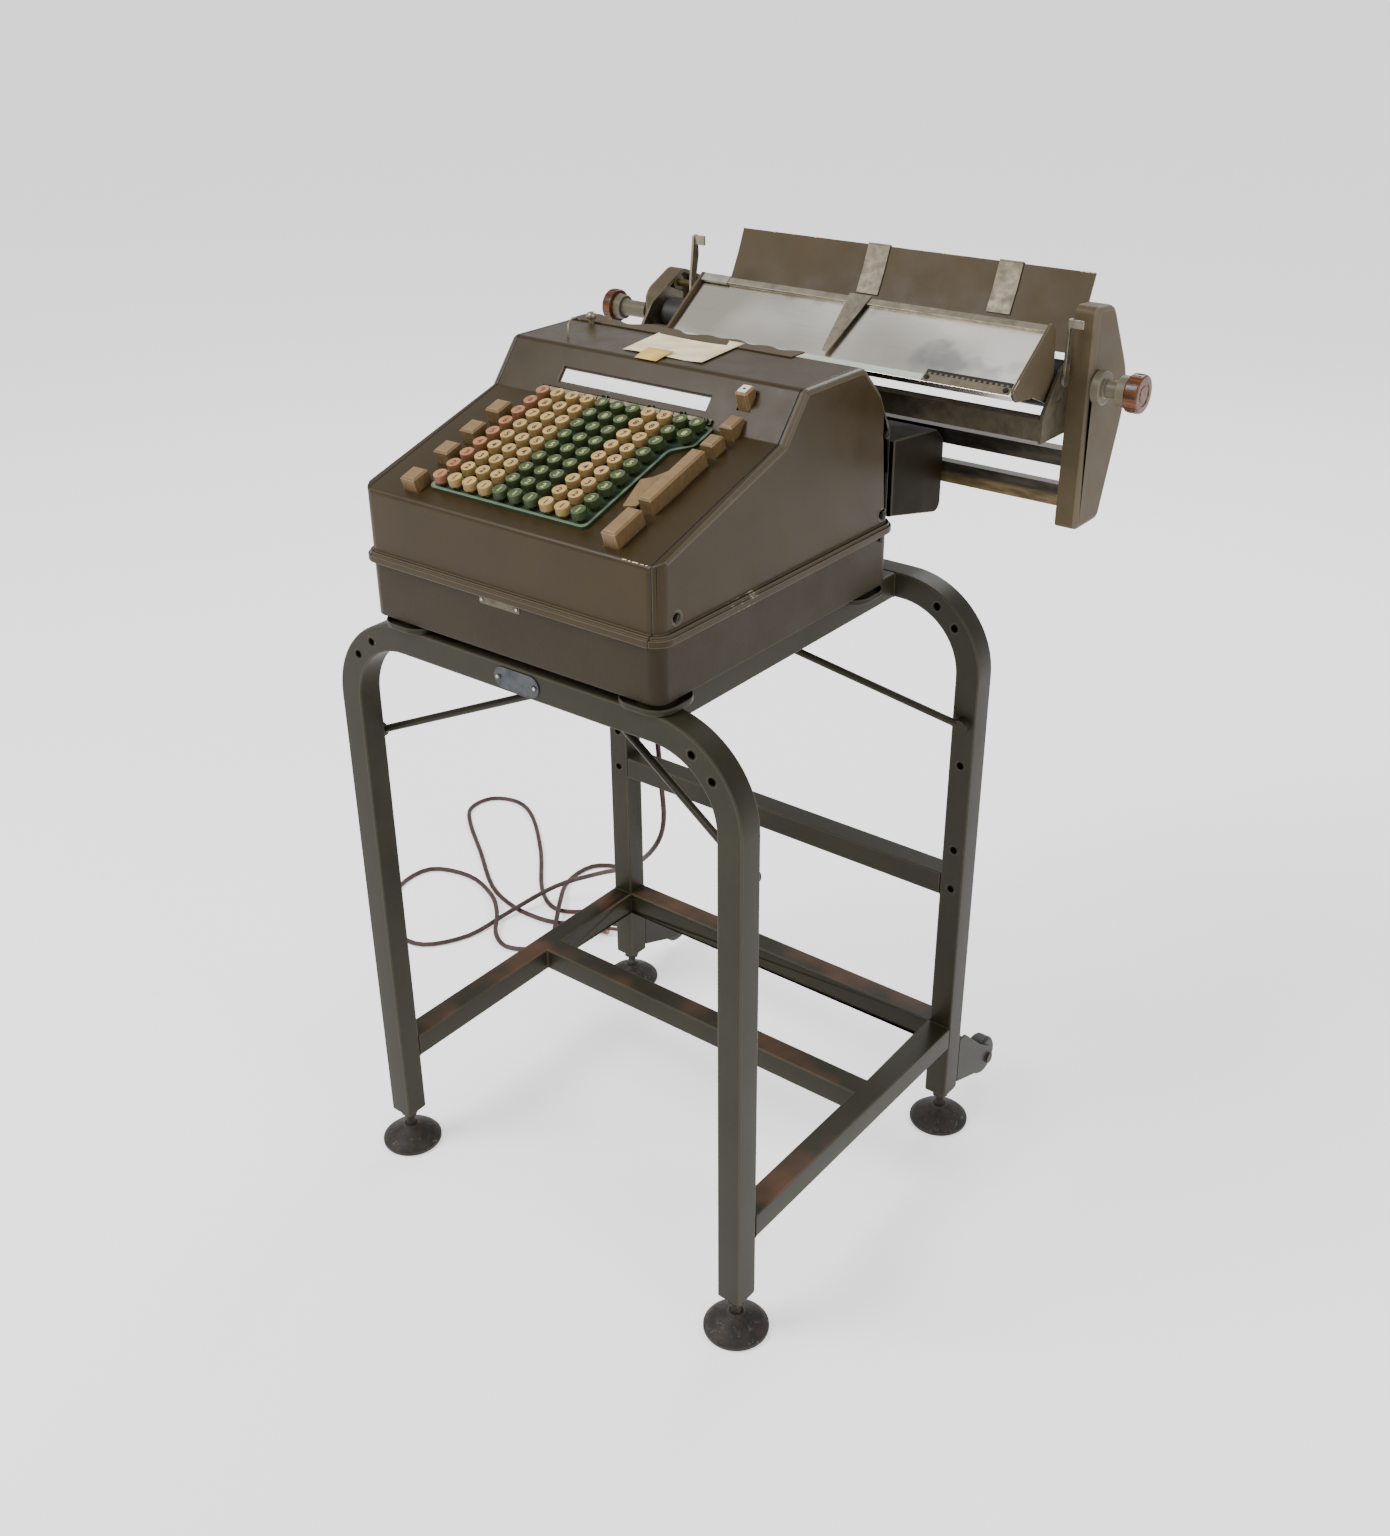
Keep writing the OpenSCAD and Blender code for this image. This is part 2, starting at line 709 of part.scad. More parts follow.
module tube_x(x0, x1, y, z) difference() {
  block(x0, x1, y - tube / 2, y + tube / 2, z, z + tube);
  block(x0 - 1, x1 + 1, y - tube / 2 + tube_wall, y + tube / 2 - tube_wall, z + tube_wall, z + tube - tube_wall);
}
module front_frame() color(stand_green) placed() frame_tube(stand_front);
module rear_frame() color(stand_green) placed() difference() {
  frame_tube(-stand_front - tube);
  for (s = [-1, 1], z = [leg_hole_low, leg_hole_mid, leg_hole_top])
    pin_y(-stand_front - tube - 1, -stand_front - tube + tube_wall + 1, s * leg_x, z, hole_d / 2);
}
module upper_rails() color(stand_green) placed() {
  for (s = [-1, 1]) tube_y(frame_back, -frame_back, s * top_rail_x, stand_top - tube);
  tube_x(-leg_x + tube / 2, leg_x - tube / 2, leg_y, mid_rail_z);
}
module lower_rails() color(stand_green) placed() {
  for (s = [-1, 1]) tube_y(frame_back, -frame_back, s * leg_x, rail_z);
  for (y = [leg_y, cross_y]) tube_x(-leg_x + tube / 2, leg_x - tube / 2, y, rail_z);
}
module brace_rods() color(stand_green) placed() {
  lug_l = 2 * brace_r + 2;
  meet_front = stand_front + brace_front;
  meet_rear = -stand_front - brace_rear;
  for (s = [-1, 1]) {
    pin_y(frame_back, frame_back + lug_l, s * leg_x, brace_leg_z, lug_r);
    rod([s * leg_x, frame_back + lug_l / 2, brace_leg_z], [0, meet_front, brace_tie_z], brace_r);
    pin_y(-frame_back - lug_l, -frame_back, s * leg_x, brace_leg_z, lug_r);
    rod([s * leg_x, -frame_back - lug_l / 2, brace_leg_z], [0, meet_rear, brace_tie_z], brace_r);
  }
  block(-tie_w / 2, tie_w / 2, meet_front - tie_w / 2, meet_rear + tie_w / 2,
    brace_tie_z - tie_t / 2, brace_tie_z + tie_t / 2);
}
module round_block(x0, x1, y0, y1, z0, z1, r) translate([0, 0, z0]) linear_extrude(z1 - z0)
  polygon(rounded([[x0, y0, r], [x1, y0, r], [x1, y1, r], [x0, y1, r]]));
module machine_cups() color(dark_steel) placed()
  for (x = [cups_x - cup_dx, cups_x + cup_dx], y = [stand_front + cup_front, case_back - cup_rear]) {
    half = cup_w / 2;
    inside = half - cup_t;
    difference() {
      round_block(x - half, x + half, y - half, y + half, stand_top, stand_top + cup_h, half * 0.7);
      round_block(x - inside, x + inside, y - inside, y + inside, stand_top + cup_t, stand_top + cup_h + 1,
        half * 0.7 - cup_t);
    }
    translate([x, y, stand_top + cup_t + seat_gap]) cylinder(h = pad_h - seat_gap, r = pad_r);
  }
module foot(sx, sy) color(dark_steel) placed() translate([sx * leg_x, sy * leg_y, 0]) {
  rotate_extrude() polygon([
    [0, 0], [foot_r - 2, 0], [foot_r, 2], [foot_r, 6], [foot_r * 0.82, foot_h * 0.55],
    [foot_r * 0.5, foot_h * 0.82], [stem_r + 5, foot_h], [stem_r + 3, foot_h + 3], [stem_r, foot_h + 3],
    [stem_r, leg_z + stem_in], [0, leg_z + stem_in]
  ]);
  translate([0, 0, leg_z - 8.5]) cylinder(h = 8, r = stem_r + 5, $fn = 6);
}
module foot_front_left() foot(-1, -1);
module foot_front_right() foot(1, -1);
module foot_rear_left() foot(-1, 1);
module foot_rear_right() foot(1, 1);
module caster_brackets() color(stand_green) placed() {
  y0 = -stand_front;
  axle_y = y0 + caster_back;
  cheek_in = caster_w / 2 + wheel_gap;
  cheek_out = cheek_in + bracket_t;
  for (s = [-1, 1]) {
    x = s * leg_x;
    block(x - cheek_out, x + cheek_out, y0, y0 + bracket_t, caster_z + bracket_foot, bracket_top);
    for (k = [x - cheek_out, x + cheek_in]) along_x(k, k + bracket_t) polygon(rounded([
      [y0, caster_z + bracket_foot, 0],
      [axle_y - 1.5 * bracket_tip, caster_z - bracket_tip, 6],
      [axle_y + bracket_tip, caster_z - bracket_tip, 9],
      [axle_y + bracket_tip, caster_z + bracket_tip, 9],
      [axle_y - 2 * bracket_tip, bracket_top - bracket_deep, 12],
      [y0 + bracket_deep / 3, bracket_top, 8],
      [y0, bracket_top, 0]
    ]));
    pin_x(x - cheek_out - bolt_h, x + cheek_out + bolt_h, axle_y, caster_z, axle_r);
    for (k = [x - cheek_out - bolt_h, x + cheek_out]) pin_x(k, k + bolt_h, axle_y, caster_z, axle_r + 3);
  }
}
module caster_wheel(s) color(rubber) placed()
  translate([s * leg_x, caster_back - stand_front, caster_z]) rotate([0, 90, 0]) rotate_extrude() polygon([
    [axle_r + run_gap, -caster_w / 2], [caster_r - 3, -caster_w / 2], [caster_r, 3 - caster_w / 2],
    [caster_r, caster_w / 2 - 3], [caster_r - 3, caster_w / 2], [axle_r + run_gap, caster_w / 2]
  ]);
module caster_wheel_left() caster_wheel(-1);
module caster_wheel_right() caster_wheel(1);
module tag_plate() color(steel) placed() translate([-tag_left, stand_front, stand_top - tube / 2]) rotate([90, 0, 0]) {
  linear_extrude(tag_t) {
    square([tag_w - tag_h, tag_h], center = true);
    for (s = [-1, 1]) translate([s * (tag_w - tag_h) / 2, 0]) circle(d = tag_h);
  }
  for (s = [-1, 1]) translate([s * (tag_w / 2 - rivet_in), 0, 0]) cylinder(h = rivet_h, r = rivet_r);
}

// Case
module case_block(out, z0, z1) round_block(case_left - out, case_right + out, case_front - out, case_back + out,
  z0, z1, case_r + out);
module gland_at() translate([case_x + gland_x, case_back, seam_z - gland_drop]) rotate([-90, 0, 0]) children();
module lower_case() color(enamel) placed() difference() {
  case_block(0, case_z, seam_z);
  case_block(-base_wall, case_z + base_wall, seam_z + 1);
  gland_at() translate([0, 0, -base_wall - 1]) cylinder(h = base_wall + 2, r = cord_d / 2 + 3 + run_gap);
}
module case_shell() difference() {
  union() {
    intersection() {
      along_x(case_left, case_right) polygon(case_outline);
      case_block(0, seam_z, deck_z + 1);
    }
    case_block(bead_out, seam_z, seam_z + bead_foot);
    case_block(bead_step, seam_z, seam_z + bead_h);
  }
  intersection() {
    along_x(case_left, case_right) polygon(inset(case_outline, cover_wall));
    case_block(-cover_wall, seam_z, deck_z + 1);
  }
  case_block(-cover_wall, seam_z - 1, seam_z + cover_wall + 1);
}
module side_slab(x0, x1) intersection() {
  case_shell();
  block(x0, x1, case_front - 20, case_back + 20, seam_z - 1, deck_z + 1);
}
screw_places = [
  [case_front + screw_front, seam_z + screw_low],
  [case_back - screw_rear, seam_z + screw_low],
  [case_back - screw_rear, seam_z + screw_high]
];
module key_hole(x, s, w, d) translate([x - w / 2 - key_gap, s - d / 2 - key_gap])
  square([w + 2 * key_gap, d + 2 * key_gap]);
module centre_cover() color(enamel) placed() difference() {
  side_slab(case_left + side_t, case_right - side_t);
  on_slope() {
    translate([0, 0, -cover_wall - 2]) linear_extrude(cover_wall + 10) {
      polygon(kb_shape(kb_lap));
      for (s = left_key_s) key_hole(left_key_x, s, left_key_w, fkey_d);
      key_hole(right_key_x, right_key_s[0], right_key_w, fkey_d - 2);
      key_hole(right_key_x, motor_bar_s, right_key_w, motor_bar_l);
      key_hole(right_key_x, front_key_s, right_key_w + 2, front_key_l);
      translate([lever_x - key_stem / 2 - key_gap, lever_s - lever_stem / 2 - 1 - lever_run])
        square([key_stem + 2 * key_gap, lever_stem + 2 + 2 * lever_run]);
    }
    translate([0, 0, -cover_wall - 2]) linear_extrude(steep_rise + 20) {
      key_hole(right_key_x, right_key_s[1], right_key_w, fkey_d);
      key_hole(right_key_x, slope_l + rear_key_s, right_key_w, rear_key_d);
    }
  }
  on_steep() translate([window_x - window_w / 2, window_up, -20]) cube([window_w, window_h, 40]);
}
module side_cover(x0, x1) color(enamel) placed() difference() {
  side_slab(x0, x1);
  for (p = screw_places) pin_x(x0 - 1, x1 + 1, p[0], p[1], screw_r / 2 + run_gap);
}
module left_side_cover() side_cover(case_left - bead_out - 1, case_left + side_t);
module right_side_cover() side_cover(case_right - side_t, case_right + bead_out + 1);
module cover_screws() color(steel) placed() for (p = screw_places) {
  pin_x(case_right, case_right + screw_h, p[0], p[1], screw_r);
  pin_x(case_right - side_t, case_right, p[0], p[1], screw_r / 2);
  pin_x(case_left - screw_h, case_left, p[0], p[1], screw_r);
  pin_x(case_left, case_left + side_t, p[0], p[1], screw_r / 2);
}

// Keyboard
module keyboard_plate() color(green) placed() on_slope() difference() {
  union() {
    linear_extrude(kb_t) polygon(kb_shape(0));
    difference() {
      linear_extrude(kb_t + kb_rim_h) polygon(kb_shape(0));
      linear_extrude(kb_t + kb_rim_h + 1) polygon(kb_shape(kb_rim));
    }
  }
  for (i = [0:10], j = [i == 10 ? rows - 2 : 0:rows - 1])
    translate([col_x(i) - stem_hole / 2, row_s(j) - stem_hole / 2, -1]) cube([stem_hole, stem_hole, kb_t + 2]);
}
module key_bank(first, last, tint) color(tint) placed() on_slope()
  for (i = [first:last], j = [i == 10 ? rows - 2 : 0:rows - 1]) translate([col_x(i), row_s(j), 0]) {
    translate([0, 0, cap_z]) cylinder(h = cap_h, r1 = cap_r, r2 = cap_r - 0.7);
    translate([-key_stem / 2, -key_stem / 2, -stem_down]) cube([key_stem, key_stem, stem_down + cap_z]);
  }
module keys_columns_1() key_bank(0, 0, orange);
module keys_columns_2_4() key_bank(1, 3, cream);
module keys_columns_5_7() key_bank(4, 6, green);
module keys_columns_8_9() key_bank(7, 8, cream);
module keys_columns_10_11() key_bank(9, 10, green);
module function_key(x, s, w, d, top, h) color(tan_key) placed() on_slope()
  translate([x - w / 2, s - d / 2, top - h]) cube([w, d, h]);
module left_key(i) function_key(left_key_x, left_key_s[i], left_key_w, fkey_d, fkey_h, fkey_h + stem_down);
module left_key_1() left_key(0);
module left_key_2() left_key(1);
module left_key_3() left_key(2);
module left_key_4() left_key(3);
module right_key_1()
  function_key(right_key_x, right_key_s[0], right_key_w, fkey_d - 2, fkey_h, fkey_h + stem_down);
module right_key_2()
  function_key(right_key_x, right_key_s[1], right_key_w, fkey_d, fkey_h, fkey_h + stem_down);
module right_key_3()
  function_key(right_key_x, slope_l + rear_key_s, right_key_w, rear_key_d, rear_key_top, rear_key_h);
module motor_bar() function_key(right_key_x, motor_bar_s, right_key_w, motor_bar_l, bar_h, bar_h + stem_down);
module front_key() function_key(right_key_x, front_key_s, right_key_w + 2, front_key_l, bar_h, bar_h + stem_down);
module slide_lever() color(tan_key) placed() on_slope() translate([lever_x, lever_s, 0]) {
  translate([0, 0, lever_z]) linear_extrude(lever_t) polygon(rounded([
    [-6.5, -40, 2], [6.5, -35, 2], [5.5, 27, 2], [-7.5, 7, 2], [-16.5, 0, 3]
  ]));
  translate([-key_stem / 2, -lever_stem / 2, -stem_down]) cube([key_stem, lever_stem, stem_down + lever_z]);
}
module window_glass() color("#e8e6de") placed() on_steep()
  translate([window_x - window_w / 2 - 3, window_up - 3, -cover_wall - glass_t])
    cube([window_w + 6, window_h + 6, glass_t]);
module comma_bar() color(steel) placed() on_steep() {
  translate([comma_x - comma_l / 2, comma_up, 0]) cube([comma_l, comma_w, comma_t]);
  for (s = [-1, 1]) translate([comma_x + s * (comma_l / 2 - 5), comma_up + comma_w / 2, 0])
    cylinder(h = comma_t + 1.5, r = comma_w / 2 - 0.5);
}
module comma_pointers() color(steel) placed() on_steep() for (i = [3, 6, 8]) {
  t0 = comma_up - slide_gap - pointer_t;
  t1 = comma_up + comma_w + slide_gap;
  n0 = comma_t + slide_gap;
  x = col_x(i) + pitch / 2;
  along_x(x - pointer_w / 2, x + pointer_w / 2) polygon([
    [t0, 0.8], [t0 + pointer_t, 0.8], [t0 + pointer_t, n0], [t1, n0], [t1, 0.8],
    [t1 + pointer_t, 0.8], [t1 + pointer_t, n0 + pointer_t], [t0, n0 + pointer_t]
  ]);
  along_x(x - pointer_t / 2, x + pointer_t / 2) polygon([
    [t0 + 2, n0 + pointer_t / 2], [t1, n0 + pointer_t / 2], [t1 - 1, n0 + pointer_t + 4], [t0 + 5, n0 + pointer_t + 3]
  ]);
}

// Mechanism
plate_x = right_key_x + plate_gap;
mech_left = case_x - plate_x - plate_t;
mech_right = case_x + plate_x + plate_t;
mech_base = case_z + base_wall;
module mechanism_frame() color(dark_steel) placed() {
  block(mech_left, mech_right, case_front + 34, case_back - 20, mech_base, mech_base + plate_t);
  difference() {
    for (x = [mech_left, mech_right - plate_t]) along_x(x, x + plate_t) {
      polygon(inset(case_sharp, 8));
      translate([case_front + 34, mech_base]) square([case_d - 54, seam_z - mech_base + 20]);
    }
    pin_x(mech_left - 1, mech_right + 1, drive_y, drive_z, drive_r + run_gap);
    pin_x(mech_left - 1, mech_right + 1, dial_y, dial_z, dial_shaft + run_gap);
  }
  for (p = [[slope_y - 110, seam_z - 8], [case_back - 30, seam_z - 8], [case_back - 90, deck_z - 44]])
    pin_x(mech_left, mech_right, p[0], p[1], 5);
}
module drive_motor() color(dark_steel) placed() {
  x0 = case_x - motor_l / 2;
  pin_x(x0, x0 + motor_l, motor_y, motor_z, motor_r);
  block(case_x - 40, case_x + 40, motor_y - 22, motor_y + 22, mech_base + plate_t, motor_z - motor_r + 10);
  pin_x(x0 + motor_l, case_x + gear_x + gear_w + 2, motor_y, motor_z, 5);
  translate([case_x + gear_x, motor_y, motor_z]) rotate([0, 90, 0])
    linear_extrude(gear_w) polygon(gear_outline(9, pinion_r - 3, pinion_r));
}
module drive_shaft() color(steel) placed() {
  pin_x(mech_left - 4, mech_right + 4, drive_y, drive_z, drive_r);
  translate([case_x + gear_x, drive_y, drive_z]) rotate([0, 90, 0])
    linear_extrude(gear_w) polygon(gear_outline(gear_teeth, gear_r - 4, gear_r));
  for (x = [-110, -88, 84]) pin_x(case_x + x, case_x + x + 6, drive_y, drive_z, 24);
}
module dial_wheels() color(cream) placed() {
  pin_x(mech_left - 2, mech_right + 2, dial_y, dial_z, dial_shaft);
  for (i = [0:9]) pin_x(case_x + col_x(i) - dial_w / 2, case_x + col_x(i) + dial_w / 2, dial_y, dial_z, dial_r);
}

// Rear housing
function housing_outline(y0) =
  let (y1 = case_back + housing_d, z0 = seam_z + housing_foot, z1 = z0 - housing_fall)
  rounded([
    [y0, z0, 0], [y1, z1, 10], [y1, z1 + housing_h, 14], [y1 - 16, z1 + housing_h + 15, 8], [y0, deck_z - 84, 0]
  ]);
rail_up_z = platen_z - rail_up_drop;
rail_low_z = platen_z - rail_low_drop;
module rails(g, x0, x1) {
  block(x0, x1, platen_y - rail_up / 2 - g, platen_y + rail_up / 2 + g,
    rail_up_z - rail_up / 2 - g, rail_up_z + rail_up / 2 + g);
  block(x0, x1, platen_y - rail_low_d / 2 - g, platen_y + rail_low_d / 2 + g,
    rail_low_z - rail_low_h / 2 - g, rail_low_z + rail_low_h / 2 + g);
}
module rear_housing() color(enamel) placed() {
  difference() {
    along_x(case_left, case_right) polygon(housing_outline(case_back));
    along_x(case_left + housing_wall, case_right - housing_wall)
      polygon(inset(housing_outline(case_back - 10), housing_wall));
  }
  difference() {
    block(case_x - bed_l / 2, case_x + bed_l / 2, case_back + housing_d - 16, case_back + housing_d + bed_d,
      rail_low_z - rail_low_h / 2 - 8, rail_up_z + rail_up / 2 + 7);
    rails(slide_gap, case_x - bed_l, case_x + bed_l);
  }
}

// Carriage
module sided(right) {
  if (right) translate([inner_right, 0, 0]) children();
  else translate([inner_left, 0, 0]) mirror([1, 0, 0]) children();
}
module end_plate(right, outline) color(enamel) placed() sided(right) difference() {
  union() {
    difference() {
      along_x(0, end_t) polygon(outline);
      along_x(-1, end_t - end_wall) polygon(inset(outline, end_wall));
    }
    intersection() {
      along_x(0, end_t) polygon(outline);
      union() {
        pin_x(0, end_t, platen_y, platen_z, shaft_r + 9);
        pin_x(0, end_t, table_rod_at[0], table_rod_at[1], table_rod + 5);
        block(0, end_t, platen_y - end_front, platen_y + 12, rail_low_z - rail_low_h, rail_up_z + rail_up);
      }
    }
  }
  pin_x(-1, end_t + 1, platen_y, platen_z, shaft_r + run_gap);
}
module left_end_plate() end_plate(false, end_outline_left);
module right_end_plate() end_plate(true, end_outline_right);
module carriage_beam() color(dark_steel) placed() {
  front = platen_y - beam_front;
  foot = platen_z - beam_drop;
  block(inner_left, inner_right, front, front + beam_d, foot, foot + beam_h);
  difference() {
    for (x = [inner_left, inner_right - cheek_t]) along_x(x, x + cheek_t) polygon([
      [front, foot - 2], [platen_y + 28, foot - 2], [platen_y + 28, platen_z + 21],
      [platen_y, platen_z + 32], [platen_y - 27, platen_z + 19], [front, foot + 27]
    ]);
    pin_x(inner_left - 1, inner_right + 1, platen_y, platen_z, shaft_r + run_gap);
    pin_x(inner_left - 1, inner_right + 1, rod_y, rod_z, chute_rod + run_gap);
    pin_x(inner_left - 1, inner_right + 1, feed_y, feed_z, feed_axle + run_gap);
    pin_x(inner_right - cheek_t - 1, inner_right + 1, finger_y, finger_z, finger_pin + run_gap);
  }
}
module carriage_rails() color(dark_steel) placed() rails(0, inner_left, inner_right);
module platen() color(rubber) placed() {
  pin_x(inner_left + cheek_t + 5, inner_right - cheek_t - chute_right - 1, platen_y, platen_z, platen_r);
  pin_x(knob_left_x + 5, knob_right_x - 5, platen_y, platen_z, shaft_r);
}
module platen_knobs() color(bakelite) placed() difference() {
  union() {
    pin_x(knob_left_x, knob_left_x + knob_l_left, platen_y, platen_z, knob_r);
    pin_x(knob_left_x + knob_l_left, inner_left - end_t - 1, platen_y, platen_z, hub_r);
    pin_x(knob_left_x + knob_l_left, knob_left_x + knob_l_left + collar_t, platen_y, platen_z, collar_r - 3);
    pin_x(inner_right + end_t + 1, inner_right + end_t + 1 + collar_t, platen_y, platen_z, collar_r);
    pin_x(inner_right + end_t + 1 + collar_t, knob_right_x - knob_l_right, platen_y, platen_z, hub_r);
    pin_x(knob_right_x - knob_l_right - collar_t, knob_right_x - knob_l_right, platen_y, platen_z, collar_r - 1);
    pin_x(knob_right_x - knob_l_right, knob_right_x, platen_y, platen_z, knob_r);
  }
  pin_x(knob_left_x + 5, knob_right_x - 5, platen_y, platen_z, shaft_r + run_gap);
}
module feed_roll() color(rubber) placed() {
  pin_x(inner_left + cheek_t + 5, inner_right - cheek_t - chute_right - 1, feed_y, feed_z, feed_r);
  pin_x(inner_left + 1, inner_right - 1, feed_y, feed_z, feed_axle);
}
module front_chute() color(aluminium) placed() on_chute() {
  translate([sheet_left, 0, 0]) cube([sheet_right - sheet_left, chute_l, chute_t]);
  translate([sheet_left, 0, -6]) cube([sheet_right - sheet_left, chute_t, 7]);
}
module chute_arm(x) along_x(x, x + arm_t) polygon(rounded([
  [2, -9, 2], [rod_l - 30, rod_n + 32, 12], [rod_l - 7, rod_n - 5, 3], [rod_l + 2, rod_n - 5, 4],
  [rod_l + 9, rod_n + 15, 6], [chute_l + 12, -6, 4], [chute_l + 10, 7, 4], [2, 6, 2]
]));
module chute_frame() color(steel) placed() {
  on_chute() {
    for (x = [sheet_left - arm_t, sheet_right]) chute_arm(x);
    translate([sheet_left, chute_l, -bar_w / 2 + 1]) cube([sheet_right - sheet_left, bar_w, bar_w]);
  }
  pin_x(inner_left + 1, inner_right - 1, rod_y, rod_z, chute_rod);
  for (x = [sheet_left - arm_t, sheet_right])
    pin_x(x - boss_out, x + arm_t + boss_out, rod_y, rod_z, chute_rod + boss_wall);
}
module form_pointer() color(steel) placed() on_chute() {
  x = inner_right - cheek_t - form_x;
  n0 = bar_w / 2 + 1 + slide_gap;
  n1 = 1 - bar_w / 2 - slide_gap;
  l0 = chute_l + bar_w + slide_gap;
  translate([0, 0, n0]) linear_extrude(form_t) polygon([
    [x - 5, form_tip + 1], [x + 2, form_tip - 1], [x + form_w / 2, l0 + form_t], [x - form_w / 2, l0 + form_t]
  ]);
  translate([x - form_w / 2, l0, n1 - form_t]) cube([form_w, form_t, n0 - n1 + form_t + 0.5]);
  translate([x - form_w / 2, l0 - bar_w, n1 - form_t]) cube([form_w, bar_w + form_t, form_t]);
}
module paper_table() color(enamel) placed() {
  along_x(table_x0, table_x1) polygon(strip(table_line, -table_t, 0));
  pin_x(inner_left, inner_right, table_rod_at[0], table_rod_at[1], table_rod);
}
module table_guides() color(steel) placed() {
  top = table_line[4];
  up = unit(table_line[4] - table_line[3]);
  out = [-up[1], up[0]];
  front = slide_gap;
  back = -table_t - slide_gap;
  for (x = [inner_right - guide_far, inner_right - guide_near]) along_x(x - guide_w / 2, x + guide_w / 2) {
    polygon(strip([for (i = [2:4]) table_line[i]], front, front + guide_t));
    polygon([
      top + out * (front + guide_t) - up, top + out * (front + guide_t) + up * (slide_gap + guide_t),
      top + out * (back - guide_t) + up * (slide_gap + guide_t), top + out * (back - guide_t) - up * 12,
      top + out * back - up * 12, top + out * back + up * slide_gap, top + out * front + up * slide_gap,
      top + out * front - up
    ]);
  }
}
module left_finger_lever() color(steel) placed() difference() {
  x = inner_left + cheek_t + finger_x;
  union() {
    pin_x(x, x + finger_t + 5, rod_y, rod_z, chute_rod + boss_wall);
    along_x(x, x + finger_t) translate([rod_y, rod_z]) polygon(rounded([
      [-5, -1, 1], [3, -1, 1], [3, 50, 4], [10, 84, 4], [9, 106, 2], [2, 106, 2], [-4, 60, 8]
    ]));
    block(x, x + finger_pad, rod_y + 3, rod_y + 5, rod_z + 96, rod_z + 106);
  }
  pin_x(x - 1, x + finger_t + 6, rod_y, rod_z, chute_rod + run_gap);
}
module right_finger_lever() color(steel) placed() {
  x = inner_right + slide_gap;
  pin_x(inner_right - cheek_t + 0.5, x, finger_y, finger_z, finger_pin);
  pin_x(x, x + finger_t, finger_y, finger_z, finger_pin + 4);
  along_x(x, x + finger_t) translate([finger_y, finger_z]) polygon(rounded([
    [-5, 0, 1], [5, 0, 1], [6, finger_l - 20, 3], [5, finger_l, 2], [-3, finger_l, 2], [-4, finger_l - 22, 6]
  ]));
  block(x, x + finger_pad, finger_y - 3, finger_y - 1, finger_z + finger_l - 8, finger_z + finger_l);
}

// Cord
module cord_gland() color(rubber) placed() gland_at() {
  translate([0, 0, -base_wall]) cylinder(h = base_wall, r = cord_d / 2 + 3);
  cylinder(h = gland_t, r = cord_d / 2 + gland_rim);
  translate([0, 0, gland_t]) cylinder(h = gland_l, r1 = cord_d / 2 + 4, r2 = cord_d / 2 + 1);
}
// Route of the cord: down behind the stand, then in loose loops on the floor to its plug
cord_route = [
  [-200, 247, 540], [-222, 246, 420], [-216, 244, 320], [-212, 244, 250], [-236, 252, 196], [-300, 278, 130],
  [-390, 304, 70], [-460, 288, 30], [-490, 222, 9], [-500, 142, 3.5], [-536, 86, 3.5], [-590, 84, 3.5],
  [-636, 124, 3.5], [-680, 176, 3.5], [-678, 238, 3.5], [-616, 260, 3.5], [-550, 240, 6], [-500, 202, 12],
  [-470, 168, 6], [-437, 155, 3.5], [-404, 172, 4], [-396, 206, 7], [-416, 240, 13], [-448, 284, 11],
  [-482, 338, 3.5], [-482, 396, 3.5], [-440, 420, 3.5], [-396, 394, 3.5], [-388, 336, 3.5], [-408, 292, 3.5],
  [-448, 272, 3.5], [-500, 300, 3.5], [-576, 380, 3.5], [-660, 452, 3.5], [-716, 476, 3.5], [-760, 458, 3.5],
  [-764, 414, 3.5], [-728, 376, 3.5], [-652, 322, 3.5], [-566, 260, 3.5], [-500, 238, 3.5], [-446, 238, 3.5],
  [-404, 246, 8], [-378, 258, 13.2]
];
cord_exit = [case_x + gland_x, case_back + gland_t + gland_l, seam_z - gland_drop];
cord_start = [
  cord_exit, cord_exit + [0, 26, 0], cord_exit + [-1, 46, -6], cord_exit + [-4, 63, -22],
  cord_exit + [-8, 71, -49], cord_exit + [-18, 67, -100]
];
cord_points = concat(cord_start, cord_route);
cord_sides = 8;
ring_gap = 52;
// Point a part t of the way from b to c on the smooth curve through a, b, c and d, never below the floor
function curve_at(a, b, c, d, t) =
  let (p = (2 * b + (c - a) * t + (2 * a - 5 * b + 4 * c - d) * t * t + (3 * b - a - 3 * c + d) * t * t * t) / 2)
  [p[0], p[1], max(p[2], cord_d / 2)];
cord_line = [
  for (i = [0:len(cord_points) - 2])
    let (
      b = cord_points[i],
      c = cord_points[i + 1],
      a = i == 0 ? 2 * b - c : cord_points[i - 1],
      d = i == len(cord_points) - 2 ? 2 * c - b : cord_points[i + 2]
    )
    each [for (t = norm(c - b) > ring_gap ? [0, 0.5] : [0]) curve_at(a, b, c, d, t)],
  cord_points[len(cord_points) - 1]
];
function heading(i) = unit(cord_line[min(i + 1, len(cord_line) - 1)] - cord_line[max(i - 1, 0)]);
function ring(p, h, s) = [for (k = [0:cord_sides - 1])
  let (a = 360 * (k + 0.5) / cord_sides) p + cord_d / 2 * (s * cos(a) + cross(h, s) * sin(a))];
